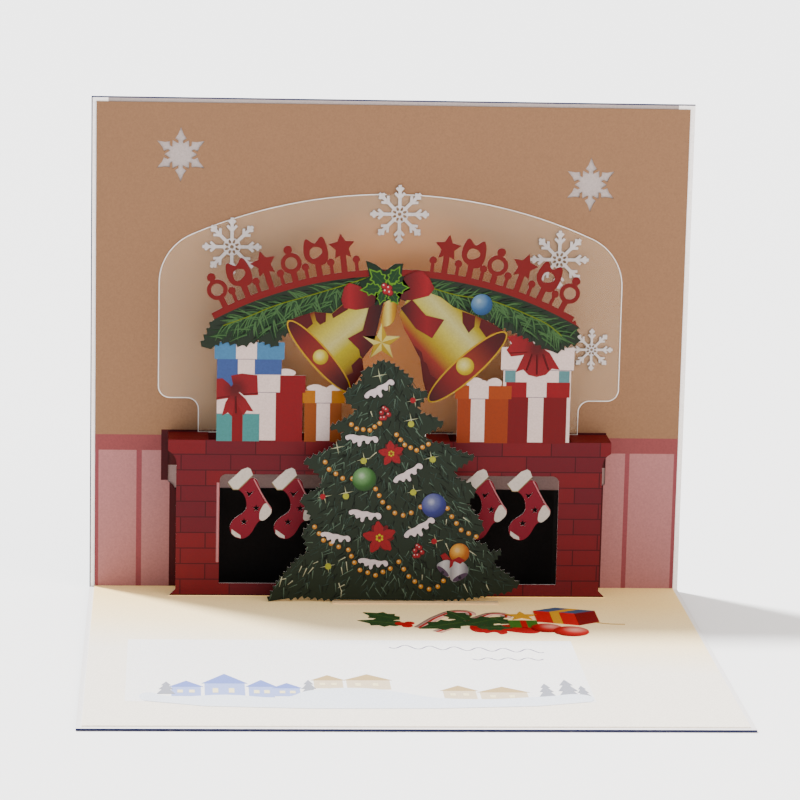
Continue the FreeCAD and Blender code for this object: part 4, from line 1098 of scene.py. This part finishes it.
class CARD_OT_floor_print(bpy.types.Operator):
    """Print on the floor sheet: a pale panel with a village, and holly with gifts"""

    bl_idname = "card.floor_print"
    bl_label = "Floor Print"

    def execute(self, context):
        face = FLOOR_FACE
        printed("writing_panel", [box(-77.5, 50.0, -51.0, 12.0)], "#F8F6F4", face)
        strokes("floor_canes_pink", CANES, 3.4, "#C79A8C", face, 2)
        strokes("floor_canes_red", CANES, 1.0, "#A01010", face, 3)
        printed("floor_ribbon", FLOOR_RIBBON, "#96080C", face, 4, smooth=True)
        printed("floor_leaves", [moved(LEAF, *place) for place in FLOOR_LEAVES], "#1F3B1A", face, 5)
        veins = [moved(VEIN, *place) for place in FLOOR_LEAVES]
        strokes("floor_leaf_veins", veins, 0.4, "#5F7A3C", face, 6, smooth=False)
        berry_discs = [disc(1.9, 30.2, 1.7, 14), disc(3.8, 28.0, 1.6, 14), disc(4.6, 31.0, 1.5, 14)]
        printed("floor_berries", berry_discs, "#A00B0E", face, 7)
        printed("floor_green_gift", [box(34.0, 42.4, 26.5, 34.5)], "#35611A", face, 6)
        printed("floor_gift_band", [box(37.4, 39.2, 26.5, 34.5)], "#A00B0E", face, 7)
        # The large gift is drawn from a corner: its front, its shaded side and its blue lid, tied with gold.
        gift = {"front": ("#B01210", [(42.5, 33.5), (54.5, 29.5), (54.5, 42.5), (42.5, 45.5)]),
                "side": ("#6E0A0C", [(54.5, 29.5), (61.0, 33.5), (61.0, 45.8), (54.5, 42.5)]),
                "lid": ("#3A4B69", [(42.5, 45.5), (54.5, 42.5), (61.0, 45.8), (49.5, 49.4)])}
        for name, (code, outline) in gift.items():
            printed("floor_gift_" + name, [outline], code, face, 7)
        gold = [[(47.2, 31.9), (50.0, 31.0), (50.0, 43.6), (47.2, 44.3)],
                [(47.2, 44.3), (50.0, 43.6), (56.4, 47.2), (53.8, 48.0)], star(38.4, 39.6, 5.0)]
        printed("floor_gold", gold, "#C08A12", face, 8)
        stops = [(0.0, "#6C0406"), (0.45, "#A81412"), (1.0, "#D99080")]
        ball("floor_ball_left", 44.6, 26.0, 4.6, (1.4, 1.4), 1.4, stops, face, 9, 20)
        ball("floor_ball_right", 51.4, 22.4, 5.2, (1.4, 1.4), 1.4, stops, face, 10, 20)
        strokes("floor_thread", [[(60.0, 33.0), (63.2, 31.5), (68.3, 31.0)]], 0.7, "#B48212", face, 3, 0.5)
        # Loose scrolls, pale as if drawn in pencil.
        scrolls = [[(x, 5.0 + 1.8 * math.sin(x * 0.9) - 0.1 * x) for x in range(-3, 42)],
                   [(x, -7.5 + 1.2 * math.sin(x * 1.1)) for x in range(20, 41)]]
        strokes("floor_scrolls", scrolls, 0.5, "#5A4C7C", face, 2)
        strokes("floor_line", [[(-41.3, -55.2), (24.7, -55.2)]], 0.35, "#A79FBF", face, 2, smooth=False)
        lit = []
        for name, (wall, roof, places) in HOUSES.items():
            walls, roofs, windows = zip(*[house(*place) for place in places])
            printed(f"village_{name}_walls", walls, wall, face, 2)
            printed(f"village_{name}_roofs", roofs, roof, face, 3)
            lit += sum(windows, [])
        printed("village_windows", lit, "#F4E6B8", face, 4)
        printed("village_firs", [fir(*place) for place in FIRS], "#92949E", face, 5)
        printed("village_ground", [SNOWY_GROUND], "#E4EAF3", face, 6, smooth=True)
        return {"FINISHED"}


# The camera that took the card: its place in millimetres, its turns in radians and its lens in millimetres.
CAMERA_PLACE = (-66.2, -946.7, 262.4)
YAW, PITCH, ROLL = -0.068, -0.196, 0.022
LENS, FILM_WIDTH = 155.25, 36


class CARD_OT_stage(bpy.types.Operator):
    """Plain pale floor, soft studio light and the camera"""

    bl_idname = "card.stage"
    bl_label = "Stage"

    def execute(self, context):
        bpy.ops.object.select_all(action="DESELECT")
        bpy.ops.mesh.primitive_plane_add(size=6, location=(0, 0, -0.0002))
        ground = context.object
        ground.name = "stage_floor"
        ground.data.materials.append(stock("studio_paper", "#FFFFFF", 0.9, mottle=0))
        world = bpy.data.worlds.new("studio_light")
        context.scene.world = world
        world.use_nodes = True
        sky = world.node_tree.nodes["Background"]
        sky.inputs["Color"].default_value = (1, 1, 1, 1)
        sky.inputs["Strength"].default_value = 1.2
        # A window high up behind the card, to its left: the upright leaf shades itself and the fold.
        window = self.light("SUN", "high_window", (-0.6, 0.5, 1.2), (0.48, -0.39, -1), 10.0)
        window.angle = math.radians(7)
        # A warm softbox low on the right fills the front.
        fill = self.light("AREA", "warm_softbox", (0.9, -0.7, 0.35), (-0.9, 0.75, -0.27), 13.0)
        fill.size = 0.8
        fill.color = (1.0, 0.78, 0.6)
        self.camera(context)
        return {"FINISHED"}

    def light(self, kind, name, place, direction, energy):
        """A light of the stage that shines in a direction."""
        bpy.ops.object.light_add(type=kind, location=place)
        lamp = bpy.context.object
        lamp.name = name
        lamp.data.energy = energy
        lamp.rotation_euler = Vector(direction).to_track_quat("-Z", "Y").to_euler()
        return lamp.data

    def camera(self, context):
        """A long lens a metre away, low and nearly square on."""
        bpy.ops.object.camera_add(location=Vector(CAMERA_PLACE) * MM)
        camera = context.object
        camera.name = "card_camera"
        camera.data.sensor_width = FILM_WIDTH
        camera.data.lens = LENS
        camera.data.clip_start = 0.01
        about_z = Matrix.Rotation(-YAW, 3, "Z")
        about_x = Matrix.Rotation(-PITCH, 3, "X")
        about_y = Matrix.Rotation(ROLL, 3, "Y")
        right, ahead, up = about_y @ about_x @ about_z
        camera.rotation_euler = Matrix((right, up, -Vector(ahead))).transposed().to_euler()
        context.scene.camera = camera


class CARD_PT_panel(bpy.types.Panel):
    """Shows the card's sizes and colours, and a button for each operator."""

    bl_label = "Pop-up Card"
    bl_idname = "CARD_PT_panel"
    bl_space_type = "VIEW_3D"
    bl_region_type = "UI"
    bl_category = "Card"

    def draw(self, context):
        for group in (context.scene.card_sizes, context.scene.card_colours):
            for name in group.__annotations__:
                self.layout.prop(group, name)
        for operator in OPERATORS:
            self.layout.operator(operator.bl_idname)


OPERATORS = (CARD_OT_cover, CARD_OT_liner, CARD_OT_plain_sheets, CARD_OT_parcels, CARD_OT_stockings,
             CARD_OT_garland_pine, CARD_OT_bells, CARD_OT_garland_middle, CARD_OT_tree_needles,
             CARD_OT_tree_trim, CARD_OT_floor_print, CARD_OT_stage)
CLASSES = (CardSizes, CardColours) + OPERATORS + (CARD_PT_panel,)


def register():
    """Adds the classes and the scene's properties."""
    for item in CLASSES:
        bpy.utils.register_class(item)
    bpy.types.Scene.card_sizes = bpy.props.PointerProperty(type=CardSizes)
    bpy.types.Scene.card_colours = bpy.props.PointerProperty(type=CardColours)


def unregister():
    """Takes them away again."""
    del bpy.types.Scene.card_colours
    del bpy.types.Scene.card_sizes
    for item in reversed(CLASSES):
        bpy.utils.unregister_class(item)


def main():
    """Makes the card."""
    register()
    bpy.ops.card.cover()
    bpy.ops.card.liner()
    bpy.ops.card.plain_sheets()
    bpy.ops.card.parcels()
    bpy.ops.card.stockings()
    bpy.ops.card.garland_pine()
    bpy.ops.card.bells()
    bpy.ops.card.garland_middle()
    bpy.ops.card.tree_needles()
    bpy.ops.card.tree_trim()
    bpy.ops.card.floor_print()
    bpy.ops.card.stage()


if __name__ == "__main__":
    main()
